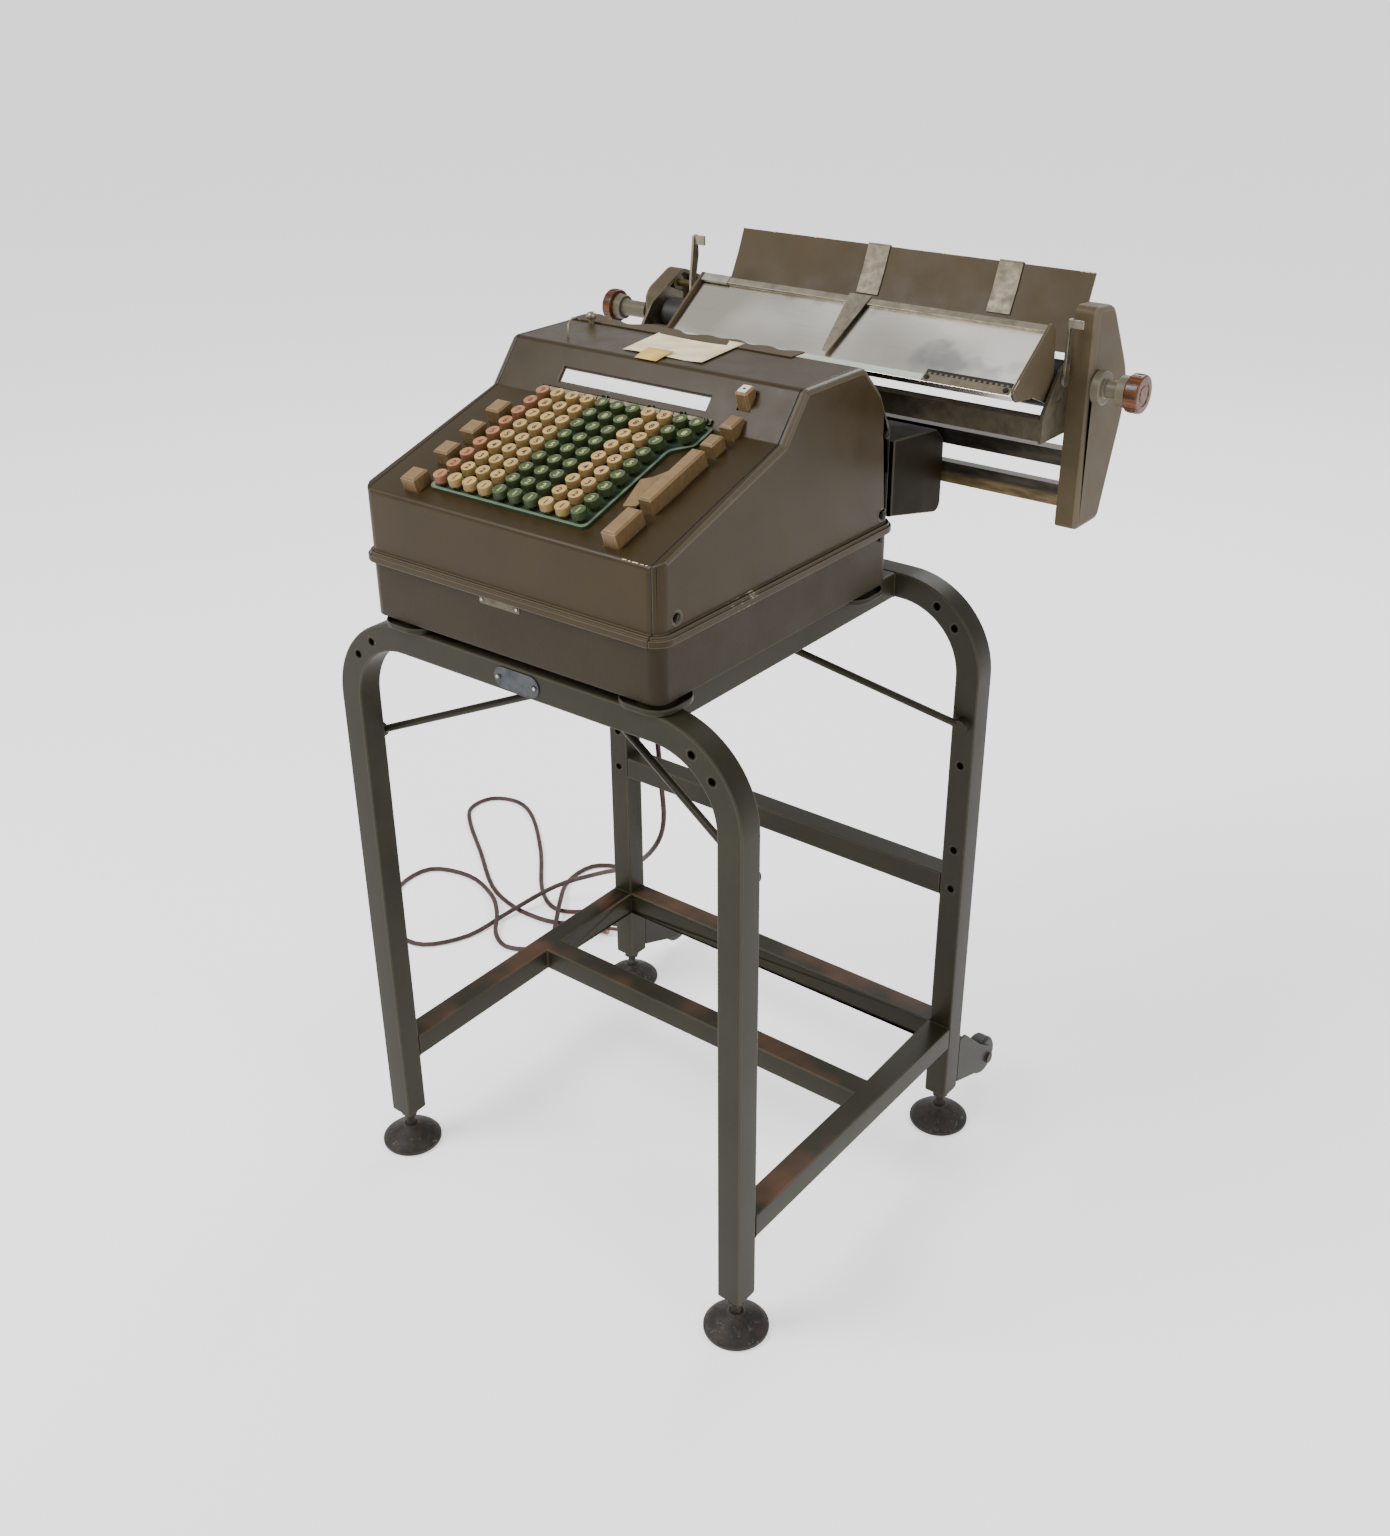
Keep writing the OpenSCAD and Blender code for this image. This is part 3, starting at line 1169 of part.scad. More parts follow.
// Rings carried along with their directions, from the gland to the plug
function rings_from(i, s) =
  let (h = i == 0 ? [0, 1, 0] : heading(i), t = unit(s - h * (s * h)))
  i == len(cord_line) ? [] : concat(ring(cord_line[i], h, t), rings_from(i + 1, t));
module power_cord() color("#4a3a36") placed() {
  n = cord_sides;
  last = len(cord_line) - 1;
  polyhedron(
    points = rings_from(0, [1, 0, 0]),
    faces = concat(
      [[for (k = [n - 1:-1:0]) k]],
      [for (i = [0:last - 1], k = [0:n - 1]) each [
        [i * n + k, i * n + (k + 1) % n, (i + 1) * n + (k + 1) % n],
        [i * n + k, (i + 1) * n + (k + 1) % n, (i + 1) * n + k]
      ]],
      [[for (k = [0:n - 1]) last * n + k]]
    )
  );
}
module cord_plug() color(rubber) placed() {
  last = len(cord_line) - 1;
  way = heading(last);
  translate(cord_line[last]) rotate([0, 0, atan2(way[1], way[0])]) {
    rotate([0, 90, 0]) cylinder(h = plug_l, r1 = plug_r - 4, r2 = plug_r);
    for (s = [-1, 1]) translate([plug_l, s * blade_w - blade_t / 2, -blade_w / 2]) cube([blade_l, blade_t, blade_w]);
  }
}

front_frame();
rear_frame();
upper_rails();
lower_rails();
brace_rods();
machine_cups();
foot_front_left();
foot_front_right();
foot_rear_left();
foot_rear_right();
caster_brackets();
caster_wheel_left();
caster_wheel_right();
tag_plate();
lower_case();
centre_cover();
left_side_cover();
right_side_cover();
cover_screws();
keyboard_plate();
keys_columns_1();
keys_columns_2_4();
keys_columns_5_7();
keys_columns_8_9();
keys_columns_10_11();
left_key_1();
left_key_2();
left_key_3();
left_key_4();
right_key_1();
right_key_2();
right_key_3();
motor_bar();
front_key();
slide_lever();
window_glass();
comma_bar();
comma_pointers();
mechanism_frame();
drive_motor();
drive_shaft();
dial_wheels();
rear_housing();
left_end_plate();
right_end_plate();
carriage_beam();
carriage_rails();
platen();
platen_knobs();
feed_roll();
front_chute();
chute_frame();
form_pointer();
paper_table();
table_guides();
left_finger_lever();
right_finger_lever();
power_cord();
cord_plug();
cord_gland();
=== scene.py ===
"""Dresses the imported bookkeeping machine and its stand: finishes, keys, numerals, small fittings and cord."""
import json
import math

import bmesh
import bpy
from bpy.props import FloatProperty, FloatVectorProperty, IntProperty, PointerProperty
from mathutils import Matrix, Vector


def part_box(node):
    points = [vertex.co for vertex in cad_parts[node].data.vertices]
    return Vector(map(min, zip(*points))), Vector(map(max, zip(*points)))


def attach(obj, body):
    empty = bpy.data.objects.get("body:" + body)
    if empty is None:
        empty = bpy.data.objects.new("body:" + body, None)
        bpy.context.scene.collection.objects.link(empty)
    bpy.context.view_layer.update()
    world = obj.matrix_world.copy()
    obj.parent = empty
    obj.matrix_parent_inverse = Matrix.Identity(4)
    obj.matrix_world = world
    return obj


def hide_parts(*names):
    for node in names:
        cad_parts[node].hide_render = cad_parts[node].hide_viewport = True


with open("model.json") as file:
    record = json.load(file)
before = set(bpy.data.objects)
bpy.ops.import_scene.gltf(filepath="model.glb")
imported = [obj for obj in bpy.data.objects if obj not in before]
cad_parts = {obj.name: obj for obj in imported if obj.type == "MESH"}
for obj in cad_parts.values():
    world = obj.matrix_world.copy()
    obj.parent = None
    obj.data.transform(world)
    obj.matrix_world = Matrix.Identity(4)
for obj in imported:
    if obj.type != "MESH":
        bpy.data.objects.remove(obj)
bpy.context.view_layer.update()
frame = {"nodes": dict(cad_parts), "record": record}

bl_info = {
    "name": "Bookkeeping machine",
    "version": (1, 0, 0),
    "blender": (4, 5, 0),
    "location": "View3D > Sidebar > Machine",
    "description": "Builds the finished pieces of a bookkeeping machine round its packed frame",
    "category": "Object",
}

MM = 0.001
ROOT = "stand_and_machine"

# Middle of the stand's footprint, from which the places below are measured
STAND_MIDDLE_X = (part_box("front_frame")[0].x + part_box("front_frame")[1].x) / 2
STAND_MIDDLE_Y = (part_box("front_frame")[0].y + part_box("rear_frame")[1].y) / 2
CASE_LOW, CASE_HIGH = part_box("lower_case")
SEAM_Z = CASE_HIGH.z
DECK_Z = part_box("centre_cover")[1].z
SLOPE_RUN, SLOPE_RISE = 184 * MM, 60.5 * MM
STEEP_RUN, STEEP_RISE = 35 * MM, 43 * MM
SLOPE_ANGLE = math.atan2(SLOPE_RISE, SLOPE_RUN)
STEEP_ANGLE = math.atan2(STEEP_RISE, STEEP_RUN)


def at(x, y, z):
    """A place measured in millimetres from the middle of the stand, in the frame's metres."""
    return Vector((STAND_MIDDLE_X + x * MM, STAND_MIDDLE_Y + y * MM, z * MM))


def tilted(y, z, angle):
    """The frame of a sloping face: X along it from the stand's middle, Y up the face, Z out of it."""
    return Matrix.Translation((STAND_MIDDLE_X, y, z)) @ Matrix.Rotation(angle, 4, "X")


SLOPE = tilted(CASE_LOW.y, DECK_Z - STEEP_RISE - SLOPE_RISE, SLOPE_ANGLE)
STEEP = tilted(CASE_LOW.y + SLOPE_RUN, DECK_Z - STEEP_RISE, STEEP_ANGLE)
CHUTE_ANGLE = math.radians(36)
CHUTE = tilted(CASE_HIGH.y + 2 * MM, DECK_Z - 22 * MM, CHUTE_ANGLE)
HERE = Matrix.Translation((STAND_MIDDLE_X, STAND_MIDDLE_Y, 0))


def linear(code):
    """An sRGB hex colour as the linear colour that shaders take."""
    parts = [int(code[i:i + 2], 16) / 255 for i in (1, 3, 5)]
    return tuple(p / 12.92 if p <= 0.04045 else ((p + 0.055) / 1.055) ** 2.4 for p in parts) + (1.0,)


def colour_property(name, code, description):
    return FloatVectorProperty(
        name=name, description=description, subtype="COLOR", size=4, min=0, max=1, default=linear(code)
    )


def length_property(name, description, size_mm, low, high):
    return FloatProperty(
        name=name, description=description, default=size_mm * MM, min=low * MM, max=high * MM, unit="LENGTH"
    )


class MachineSizes(bpy.types.PropertyGroup):
    """Sizes of the finishing work."""

    camera_focal: FloatProperty(
        name="Focal length", description="Lens of the camera that matches the view",
        default=38.16, min=20, max=120
    )
    sheet_edge: length_property("Sheet edge", "Radius of a folded or dressed sheet edge", 0.6, 0.1, 3)
    cover_edge: length_property("Cover edge", "Radius of the covers' upper side edges", 5.5, 1, 7)
    casting_edge: length_property("Casting edge", "Radius of the end plates' outer edges", 5, 1, 8)
    tube_edge: length_property("Tube edge", "Corner radius of the square tube", 2.2, 0.5, 5)
    key_pitch: length_property("Key pitch", "Distance between keys along and across", 19.05, 18, 20)
    key_radius: length_property("Key radius", "Radius of a round key cap", 7.5, 6, 8)
    key_height: length_property("Key height", "Height of a round key cap", 7, 5, 9)
    cap_sides: IntProperty(name="Cap sides", description="Faces round a key cap", default=32, min=12, max=64)


class MachineColours(bpy.types.PropertyGroup):
    """Colours of the paints and mouldings."""

    case: colour_property("Case", "#342915", "Brown-olive enamel of the case")
    stand: colour_property("Stand", "#29261a", "Olive grey enamel of the stand")
    cream: colour_property("Cream keys", "#bb9a60", "Cream key caps")
    green: colour_property("Green keys", "#46532f", "Green key caps")
    red: colour_property("Red keys", "#a8754f", "Orange-red key caps")
    tan: colour_property("Tan keys", "#7c6443", "Tan function keys")
    knob: colour_property("Knobs", "#6a3a14", "Brown moulded knobs")


def sizes():
    return bpy.context.scene.machine_sizes


def colours():
    return bpy.context.scene.machine_colours


# Materials


def add_node(tree, kind, settings=None, links=None):
    """Adds a node with its settings and the sockets that feed it."""
    made = tree.nodes.new(kind)
    for name, value in (settings or {}).items():
        if isinstance(name, str) and hasattr(made, name):
            setattr(made, name, value)
        else:
            made.inputs[name].default_value = value
    for socket, source in (links or {}).items():
        tree.links.new(source, made.inputs[socket])
    return made


class Coat:
    """A material in the making: its tree, its shader and the object's coordinates."""

    def __init__(self, name, settings):
        self.material = bpy.data.materials.new(name)
        self.material.use_nodes = True
        self.tree = self.material.node_tree
        self.shader = self.tree.nodes["Principled BSDF"]
        for socket, value in settings.items():
            self.shader.inputs[socket].default_value = value
        self.place = self.node("ShaderNodeTexCoord").outputs["Object"]

    def node(self, kind, settings=None, links=None):
        return add_node(self.tree, kind, settings, links)

    def noise(self, size_mm, detail=3.0, roughness=0.55, squash=(1, 1, 1)):
        """Noise whose blotches are about size_mm across, as a value from 0 to 1."""
        shifted = self.node("ShaderNodeMapping", {"Scale": squash}, {"Vector": self.place}).outputs["Vector"]
        settings = {"Scale": 1000 / size_mm, "Detail": detail, "Roughness": roughness}
        return self.node("ShaderNodeTexNoise", settings, {"Vector": shifted}).outputs["Fac"]

    def spread(self, value, low, high, out_low=0.0, out_high=1.0):
        """A value spread so that low to high becomes out_low to out_high."""
        settings = {"From Min": low, "From Max": high, "To Min": out_low, "To Max": out_high}
        return self.node("ShaderNodeMapRange", settings, {"Value": value}).outputs["Result"]

    def mix(self, factor, first, second):
        """Two colours mixed by a factor. Each is a hex code, four numbers or a socket."""
        made = self.node("ShaderNodeMix", {"data_type": "RGBA"}, {0: factor})
        for index, colour in ((6, first), (7, second)):
            if isinstance(colour, bpy.types.NodeSocket):
                self.tree.links.new(colour, made.inputs[index])
            else:
                made.inputs[index].default_value = linear(colour) if isinstance(colour, str) else colour
        return made.outputs[2]

    def times(self, first, second):
        """A value multiplied by another value or by a number."""
        if isinstance(second, bpy.types.NodeSocket):
            return self.node("ShaderNodeMath", {"operation": "MULTIPLY"}, {0: first, 1: second}).outputs[0]
        return self.node("ShaderNodeMath", {"operation": "MULTIPLY", 1: second}, {0: first}).outputs[0]

    def rare(self, fine_mm, coarse_mm, low, coarse_low):
        """Small spots that come only here and there: fine noise inside a few large patches."""
        spots = self.spread(self.noise(fine_mm, 5, 0.75), low, low + 0.06)
        return self.times(spots, self.spread(self.noise(coarse_mm, 2), coarse_low, coarse_low + 0.05))

    def edge_wear_and_sheen(self):
        """One on the faces that rounded an edge, zero elsewhere: the mask for painted edge highlights and for
        edge wear.
        """
        return self.node("ShaderNodeAttribute", {"attribute_name": "edge_wear_and_sheen"}).outputs["Fac"]

    def upward(self):
        """One where a face looks straight up, zero where it stands upright."""
        facing = self.node("ShaderNodeNewGeometry").outputs["Normal"]
        return self.node("ShaderNodeSeparateXYZ", {}, {"Vector": facing}).outputs["Z"]

    def bump(self, height, strength, distance_mm):
        settings = {"Strength": strength, "Distance": distance_mm * MM}
        made = self.node("ShaderNodeBump", settings, {"Height": height})
        self.tree.links.new(made.outputs["Normal"], self.shader.inputs["Normal"])

    def finished(self, colour, sheen=None):
        """The material, with its colour and, where given, its roughness wired up."""
        self.tree.links.new(colour, self.shader.inputs["Base Color"])
        if sheen is not None:
            self.tree.links.new(sheen, self.shader.inputs["Roughness"])
        return self.material


def shade(colour, factor):
    """A colour made darker or lighter."""
    return tuple(c * factor for c in colour[:3]) + (1.0,)


def baked_enamel(name, colour, rough, grain_mm, grain, wear, gloss=0.17):
    """Stoved enamel on pressed steel: an even coat with slight orange peel, hazed by dirt, with a painted
    highlight along its rounded edges and chips worn through there.
    """
    coat = Coat(name, {"Specular IOR Level": gloss})
    edge_wear_and_sheen = coat.edge_wear_and_sheen()
    base = coat.mix(coat.spread(coat.noise(70, 4), 0.35, 0.65), shade(colour, 0.88), shade(colour, 1.1))
    base = coat.mix(coat.spread(coat.noise(5, 2, 0.7), 0.62, 0.8, 0, 0.3), base, shade(colour, 0.62))
    # Painted highlight: every rounded edge is lightened a little toward grey, as sheen. The chips below are
    # real wear
    base = coat.mix(coat.times(edge_wear_and_sheen, 0.22), base, "#857c6d")
    base = coat.mix(coat.times(coat.rare(9, 110, 0.52, wear), edge_wear_and_sheen), base, "#a59a86")
    coat.bump(coat.noise(grain_mm, 2), grain, 0.25)
    return coat.finished(base, coat.spread(coat.noise(35, 4), 0.3, 0.7, rough - 0.06, rough + 0.07))


def stand_enamel(name, colour, rust=0.0):
    """Brushed and stoved enamel on welded tube, scuffed through to red primer on the foot rails, with a painted
    highlight along its rounded corners.
    """
    coat = Coat(name, {"Specular IOR Level": 0.15})
    edge_wear_and_sheen, clouds, fine = coat.edge_wear_and_sheen(), coat.noise(90, 4), coat.noise(2.2, 3, 0.6)
    base = coat.mix(coat.spread(clouds, 0.35, 0.65), shade(colour, 0.82), shade(colour, 1.15))
    base = coat.mix(coat.spread(fine, 0.5, 0.75, 0, 0.25), base, shade(colour, 0.6))
    if rust:
        rubbed = coat.spread(coat.noise(150, 3, 0.5), 0.5, 0.62, 0, rust)
        base = coat.mix(coat.times(rubbed, coat.spread(coat.upward(), 0.3, 0.8)), base, "#68432f")
    # Painted highlight: every rounded edge is lightened a little, as sheen on the tube's corners. The chips
    # below are real wear
    base = coat.mix(coat.times(edge_wear_and_sheen, 0.12), base, "#77745f")
    base = coat.mix(coat.times(coat.rare(10, 90, 0.52, 0.66), edge_wear_and_sheen), base, "#8a8675")
    coat.bump(fine, 0.1, 0.2)
    return coat.finished(base, coat.spread(clouds, 0.3, 0.7, 0.34, 0.46))


def plated_steel(name, code, rough, metallic, dirt, dirt_share):
    """Bare or plated steel, dulled and fingered, with dark oil in its pits."""
    coat = Coat(name, {"Metallic": metallic})
    base = coat.mix(coat.spread(coat.noise(16, 5, 0.7), 0.45, 0.7, 0, dirt_share), code, dirt)
    coat.bump(coat.noise(1.2, 2), 0.08, 0.1)
    return coat.finished(base, coat.spread(coat.noise(9, 4), 0.3, 0.7, rough - 0.08, rough + 0.16))


def rolled_aluminium(name):
    """Rolled aluminium sheet, wiped for years: bright, with cloudy matt patches and faint long scratches."""
    coat = Coat(name, {"Metallic": 1.0})
    patches = coat.noise(130, 2, 0.4, (0.8, 1, 1))
    scratches = coat.noise(3, 3, 0.7, (0.05, 1, 1))
    base = coat.mix(coat.spread(patches, 0.38, 0.6), "#bdb8ab", "#efeae0")
    base = coat.mix(coat.spread(coat.noise(75, 3, 0.5), 0.58, 0.66, 0, 0.6), base, "#85878b")
    base = coat.mix(coat.spread(scratches, 0.58, 0.75, 0, 0.25), base, "#87847c")
    coat.bump(scratches, 0.04, 0.1)
    return coat.finished(base, coat.spread(patches, 0.35, 0.65, 0.16, 0.36))


def moulded_cap(name, colour, dirt=0.28, side=0.62):
    """Cellulose acetate keys: handled to soft satin on top, streaked with dirt at the sides; painted shade
    makes the sides darker than the top, and a painted highlight lightens the rounded edges.
    """
    coat = Coat(name, {"IOR": 1.46, "Specular IOR Level": 0.35})
    clouds = coat.noise(12, 4, 0.6)
    streaks = coat.spread(coat.noise(2.4, 3, 0.7, (1, 1, 0.25)), 0.4, 0.7)
    # Painted shade: the sides' colour is the cap's colour darkened, with dirt streaks in it
    streaked_shaded_flank = coat.mix(streaks, shade(colour, side), shade(colour, side * 0.7))
    base = coat.mix(coat.spread(clouds, 0.35, 0.68), shade(colour, 1.08), shade(colour, 1 - dirt))
    # Painted shade: faces turn from the top's colour to the darker sides as they stop looking up
    base = coat.mix(coat.spread(coat.upward(), 0.8, 0.45), base, streaked_shaded_flank)
    # Painted highlight: the rounded edges are lightened strongly
    base = coat.mix(coat.times(coat.edge_wear_and_sheen(), 0.7), base, shade(colour, 1.45))
    return coat.finished(base, coat.spread(clouds, 0.3, 0.7, 0.3, 0.45))


def marbled_bakelite(name):
    """Phenolic moulding turned and polished, with darker flow lines that look like grain."""
    coat = Coat(name, {"Specular IOR Level": 0.35})
    flow = coat.noise(9, 5, 0.65, (0.35, 1.6, 1.6))
    knob = colours().knob
    base = coat.mix(coat.spread(flow, 0.38, 0.62), shade(knob, 0.25), shade(knob, 0.95))
    return coat.finished(base, coat.spread(flow, 0.3, 0.7, 0.3, 0.2))


def vulcanised_rubber(name, code, rough):
    """Hard black rubber, ground and bloomed grey in places."""
    coat = Coat(name, {"Specular IOR Level": 0.35, "Roughness": rough})
    bloom = coat.spread(coat.noise(14, 4), 0.5, 0.8, 0, 0.5)
    coat.bump(coat.noise(0.8, 2), 0.15, 0.1)
    return coat.finished(coat.mix(bloom, code, shade(linear(code), 2.6)))


def grey_iron(name):
    """Sand-cast iron discs, rusted brown-black with a pale green bloom from wet floors."""
    coat = Coat(name, {"Metallic": 0.25, "Roughness": 0.62})
    base = coat.mix(coat.spread(coat.noise(13, 5, 0.7), 0.4, 0.62), "#16120d", "#2b2219")
    base = coat.mix(coat.spread(coat.noise(7, 5, 0.75), 0.58, 0.68, 0, 0.7), base, "#5a6056")
    coat.bump(coat.noise(2.0, 4, 0.7), 0.45, 0.5)
    return coat.finished(base)


def oiled_rail_steel(name):
    """A steel rail blackened by oil above, rubbed yellow where the rollers run."""
    coat = Coat(name, {"Metallic": 0.8})
    height = coat.node("ShaderNodeSeparateXYZ", {}, {"Vector": coat.place}).outputs["Z"]
    low, high = (corner.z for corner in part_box("carriage_rails"))
    track = coat.spread(height, low + (high - low) * 0.22, low + (high - low) * 0.15)
    streaks = coat.noise(14, 5, 0.7, (0.2, 1, 1))
    rubbed = coat.times(track, coat.spread(streaks, 0.35, 0.6, 0.3, 1))
    base = coat.mix(coat.spread(streaks, 0.4, 0.7), "#33302a", "#544e44")
    return coat.finished(coat.mix(rubbed, base, "#8d7a55"), coat.spread(streaks, 0.3, 0.7, 0.28, 0.5))


def aged_paper(name, code, stain):
    """Thin rag paper, yellowed and softly creased."""
    coat = Coat(name, {"Roughness": 0.85, "Specular IOR Level": 0.2})
    coat.bump(coat.noise(9, 3), 0.25, 0.6)
    return coat.finished(coat.mix(coat.spread(coat.noise(26, 4), 0.35, 0.7), code, stain))


def rubber_flex(name):
    """Brown rubber flex, matt, with a dusty bloom."""
    coat = Coat(name, {"Roughness": 0.55, "Specular IOR Level": 0.35})
    coat.bump(coat.noise(1.4, 2), 0.15, 0.15)
    return coat.finished(coat.mix(coat.spread(coat.noise(20, 4), 0.4, 0.75, 0, 0.6), "#3b2824", "#5a4642"))


def plain(name, code, rough, mottle=0.2, size_mm=8):
    """A small part's paint, ink or plastic with a little unevenness."""
    coat = Coat(name, {})
    clouds = coat.noise(size_mm)
    base = coat.mix(clouds, shade(linear(code), 1 - mottle), shade(linear(code), 1 + mottle))
    return coat.finished(base, coat.spread(clouds, 0.3, 0.7, rough - 0.05, rough + 0.08))


def finish_table():
    """Each finish's maker, with what it takes after the finish's name."""
    look = colours()
    return {
        # Semi-gloss stoved enamel on the pressed covers, with a painted highlight along the rounded edges, worn
        # silvery at a few places on them
        "cover_enamel": (baked_enamel, look.case, 0.34, 1.6, 0.1, 0.6),
        # A darker, coarser coat on the lower case, which hides its spot welds
        "wrinkle_enamel": (baked_enamel, shade(look.case, 0.66), 0.42, 3.0, 0.5, 0.66),
        # The cast end plates' enamel, duller and dustier, greyer than the case's, and painted lighter than it
        # for the light that falls on the plates from the upper right
        "casting_enamel": (baked_enamel, linear("#4c412e"), 0.5, 2.4, 0.18, 0.64),
        # The housing behind the case, its dark enamel painted almost black with the shade that the carriage
        # casts on it
        "housing_enamel": (baked_enamel, shade(look.case, 0.3), 0.5, 2.0, 0.1, 0.7, 0.06),
        # The paper table is thin sheet, matt from paper sliding on it
        "table_enamel": (baked_enamel, shade(look.case, 1.6), 0.48, 1.4, 0.1, 0.6),
        # Greyer enamel on the collars of the platen shaft
        "collar_enamel": (baked_enamel, linear("#5c5646"), 0.38, 1.4, 0.1, 0.6),
        # Dark green enamel under the keys, with its light green rim
        "key_well_enamel": (baked_enamel, linear("#2d3a2c"), 0.42, 2, 0.1, 0.8),
        "rim_enamel": (plain, "#62735c", 0.3, 0.1),
        # Olive grey enamel of the tube, which shoes have rubbed red-brown on the low rails
        "tube_enamel": (stand_enamel, look.stand),
        "foot_rail_enamel": (stand_enamel, look.stand, 0.5),
        # Nickel gone grey-brown, with dark films
        "nickel_plate": (plated_steel, "#8f8675", 0.34, 0.85, "#3b352a", 0.45),
        # Bright ground edges and rods
        "bright_steel": (plated_steel, "#b9b4a8", 0.26, 1.0, "#5b554a", 0.3),
        # Straps of the paper table, dull and yellowed
        "strap_steel": (plated_steel, "#6a604d", 0.45, 0.35, "#3d3629", 0.5),
        # Greasy grey bracket steel of the carriage
        "oiled_steel": (plated_steel, "#57503f", 0.42, 0.6, "#221e17", 0.5),
        # The tag plate is grey and rubbed
        "tag_steel": (plated_steel, "#45474a", 0.36, 0.8, "#22242a", 0.6),
        # Blued or blackened machine parts
        "blackened_steel": (plated_steel, "#2c2a26", 0.45, 0.6, "#161411", 0.5),
        "oiled_rail_steel": (oiled_rail_steel,),
        "rolled_aluminium": (rolled_aluminium,),
        # Key caps in the keyboard's colours
        "cream_acetate": (moulded_cap, look.cream),
        "green_acetate": (moulded_cap, look.green),
        "red_acetate": (moulded_cap, look.red),
        "tan_acetate": (moulded_cap, look.tan, 0.15, 0.75),
        "marbled_bakelite": (marbled_bakelite,),
        # Black rubber of the platen and rolls, the wheels, and the pads and the gland
        "platen_rubber": (vulcanised_rubber, "#191817", 0.5),
        "tyre_rubber": (vulcanised_rubber, "#201e1f", 0.5),
        "pad_rubber": (vulcanised_rubber, "#151413", 0.7),
        "rubber_flex": (rubber_flex,),
        "grey_iron": (grey_iron,),
        # Stamping ink in the moulded numerals
        "dark_ink": (plain, "#2e1f12", 0.5),
        "light_ink": (plain, "#a8ad6c", 0.5),
        "red_ink": (plain, "#5a2a1a", 0.5),
        # Milk-white celluloid behind the window, and the dark line round it: dirt gathered there, and painted
        # shade of the opening's edge
        "white_celluloid": (plain, "#f6f5f3", 0.3, 0.02, 20),
        "grime": (plain, "#3a342a", 0.7, 0.3, 4),
        # The chute's pale enamelled lip
        "lip_enamel": (plain, "#b3bcae", 0.3, 0.1, 14),
        # Ivory enamel of the dials and of one key's label
        "dial_enamel": (plain, "#d6d0bf", 0.4, 0.08),
        # Bare primer where the paint has flaked
        "bare_primer": (plain, "#d8c3a6", 0.7, 0.15, 4),
        # Old cream paper, and tape dried to amber
        "rag_paper": (aged_paper, "#e6dabb", "#cdbb93"),
        "dried_tape": (aged_paper, "#d8b768", "#c29f50")
    }


_finishes = {}


def finish_of(name):
    """The material with that name, made once."""
    if name not in _finishes:
        make, *settings = finish_table()[name]
        _finishes[name] = make(name, *settings)
    return _finishes[name]


# Meshes


def welded(node):
    """A merged copy of a node's loose triangles, with its flat faces joined."""
    source = frame["nodes"][node].data
    shape = bmesh.new()
    points = [shape.verts.new(v.co) for v in source.vertices]
    for face in source.polygons:
        try:
            shape.faces.new([points[i] for i in face.vertices])
        except ValueError:
            continue
    bmesh.ops.remove_doubles(shape, verts=shape.verts, dist=2e-6)
    bmesh.ops.dissolve_limit(
        shape, angle_limit=math.radians(0.5), verts=shape.verts, edges=shape.edges,
        use_dissolve_boundaries=False
    )
    return shape


def round_edges(shape, radius, segments=2, chosen=None, angle=34):
    """Rounds the sharp edges that chosen picks, and marks the new faces, where the finishes paint an edge
    highlight and chip the paint.
    """
    edge_wear_and_sheen = shape.faces.layers.float.get("edge_wear_and_sheen") or shape.faces.layers.float.new("edge_wear_and_sheen")
    edges = [
        e for e in shape.edges
        if len(e.link_faces) == 2 and e.calc_face_angle(0) > math.radians(angle) and (not chosen or chosen(e))
    ]
    if not edges:
        return
    made = bmesh.ops.bevel(
        shape, geom=edges, offset=radius, offset_type="OFFSET", segments=segments, profile=0.5,
        affect="EDGES", clamp_overlap=False, loop_slide=True, material=-1
    )
    for face in made["faces"]:
        face[edge_wear_and_sheen] = 1.0


# Angles in degrees above which an edge stays sharp, on most pieces and on small repeated ones
PIECE_SHARP = 38
REPEATED_SHARP = 32


def smooth_sharp(mesh, angle):
    """Smooth shading with sharp edges above an angle in degrees."""
    for face in mesh.polygons:
        face.use_smooth = True
    mesh.set_sharp_from_angle(angle=math.radians(angle))


def object_of(name, data):
    made = bpy.data.objects.new(name, data)
    bpy.context.scene.collection.objects.link(made)
    return made


def riding(name, mesh, body, replaced):
    """A finished piece that rides on a body."""
    piece = object_of(name, mesh)
    flat = piece.modifiers.new("Even normals", "WEIGHTED_NORMAL")
    flat.keep_sharp = True
    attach(piece, body)
    if replaced:
        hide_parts(*replaced)
    return piece


def mesh_of(name, shape):
    mesh = bpy.data.meshes.new(name)
    shape.to_mesh(mesh)
    shape.free()
    return mesh


def fitted(name, shape, body, finishes, replaced=()):
    """Turns a bmesh into a finished piece that rides on a body."""
    mesh = mesh_of(name, shape)
    for finish in finishes:
        mesh.materials.append(finish_of(finish))
    smooth_sharp(mesh, PIECE_SHARP)
    return riding(name, mesh, body, replaced)


def body_of_node(node):
    return next(b for b, nodes in frame["record"]["behaviour"]["bodies"].items() if node in nodes)


def slot_of_node(node):
    return next(p["material_slot"] for p in frame["record"]["subparts"] if p["node"] == node)


def part_finished(node, finishes, choose, radius, segments=2, chosen=None):
    """The node's own shape with rounded edges, where choose gives each face's middle a finish's number."""
    shape = welded(node)
    round_edges(shape, radius, segments, chosen)
    for face in shape.faces:
        face.material_index = choose(face.calc_center_median(), face.normal)
    return fitted(node + "_finished", shape, body_of_node(node), finishes, [node])


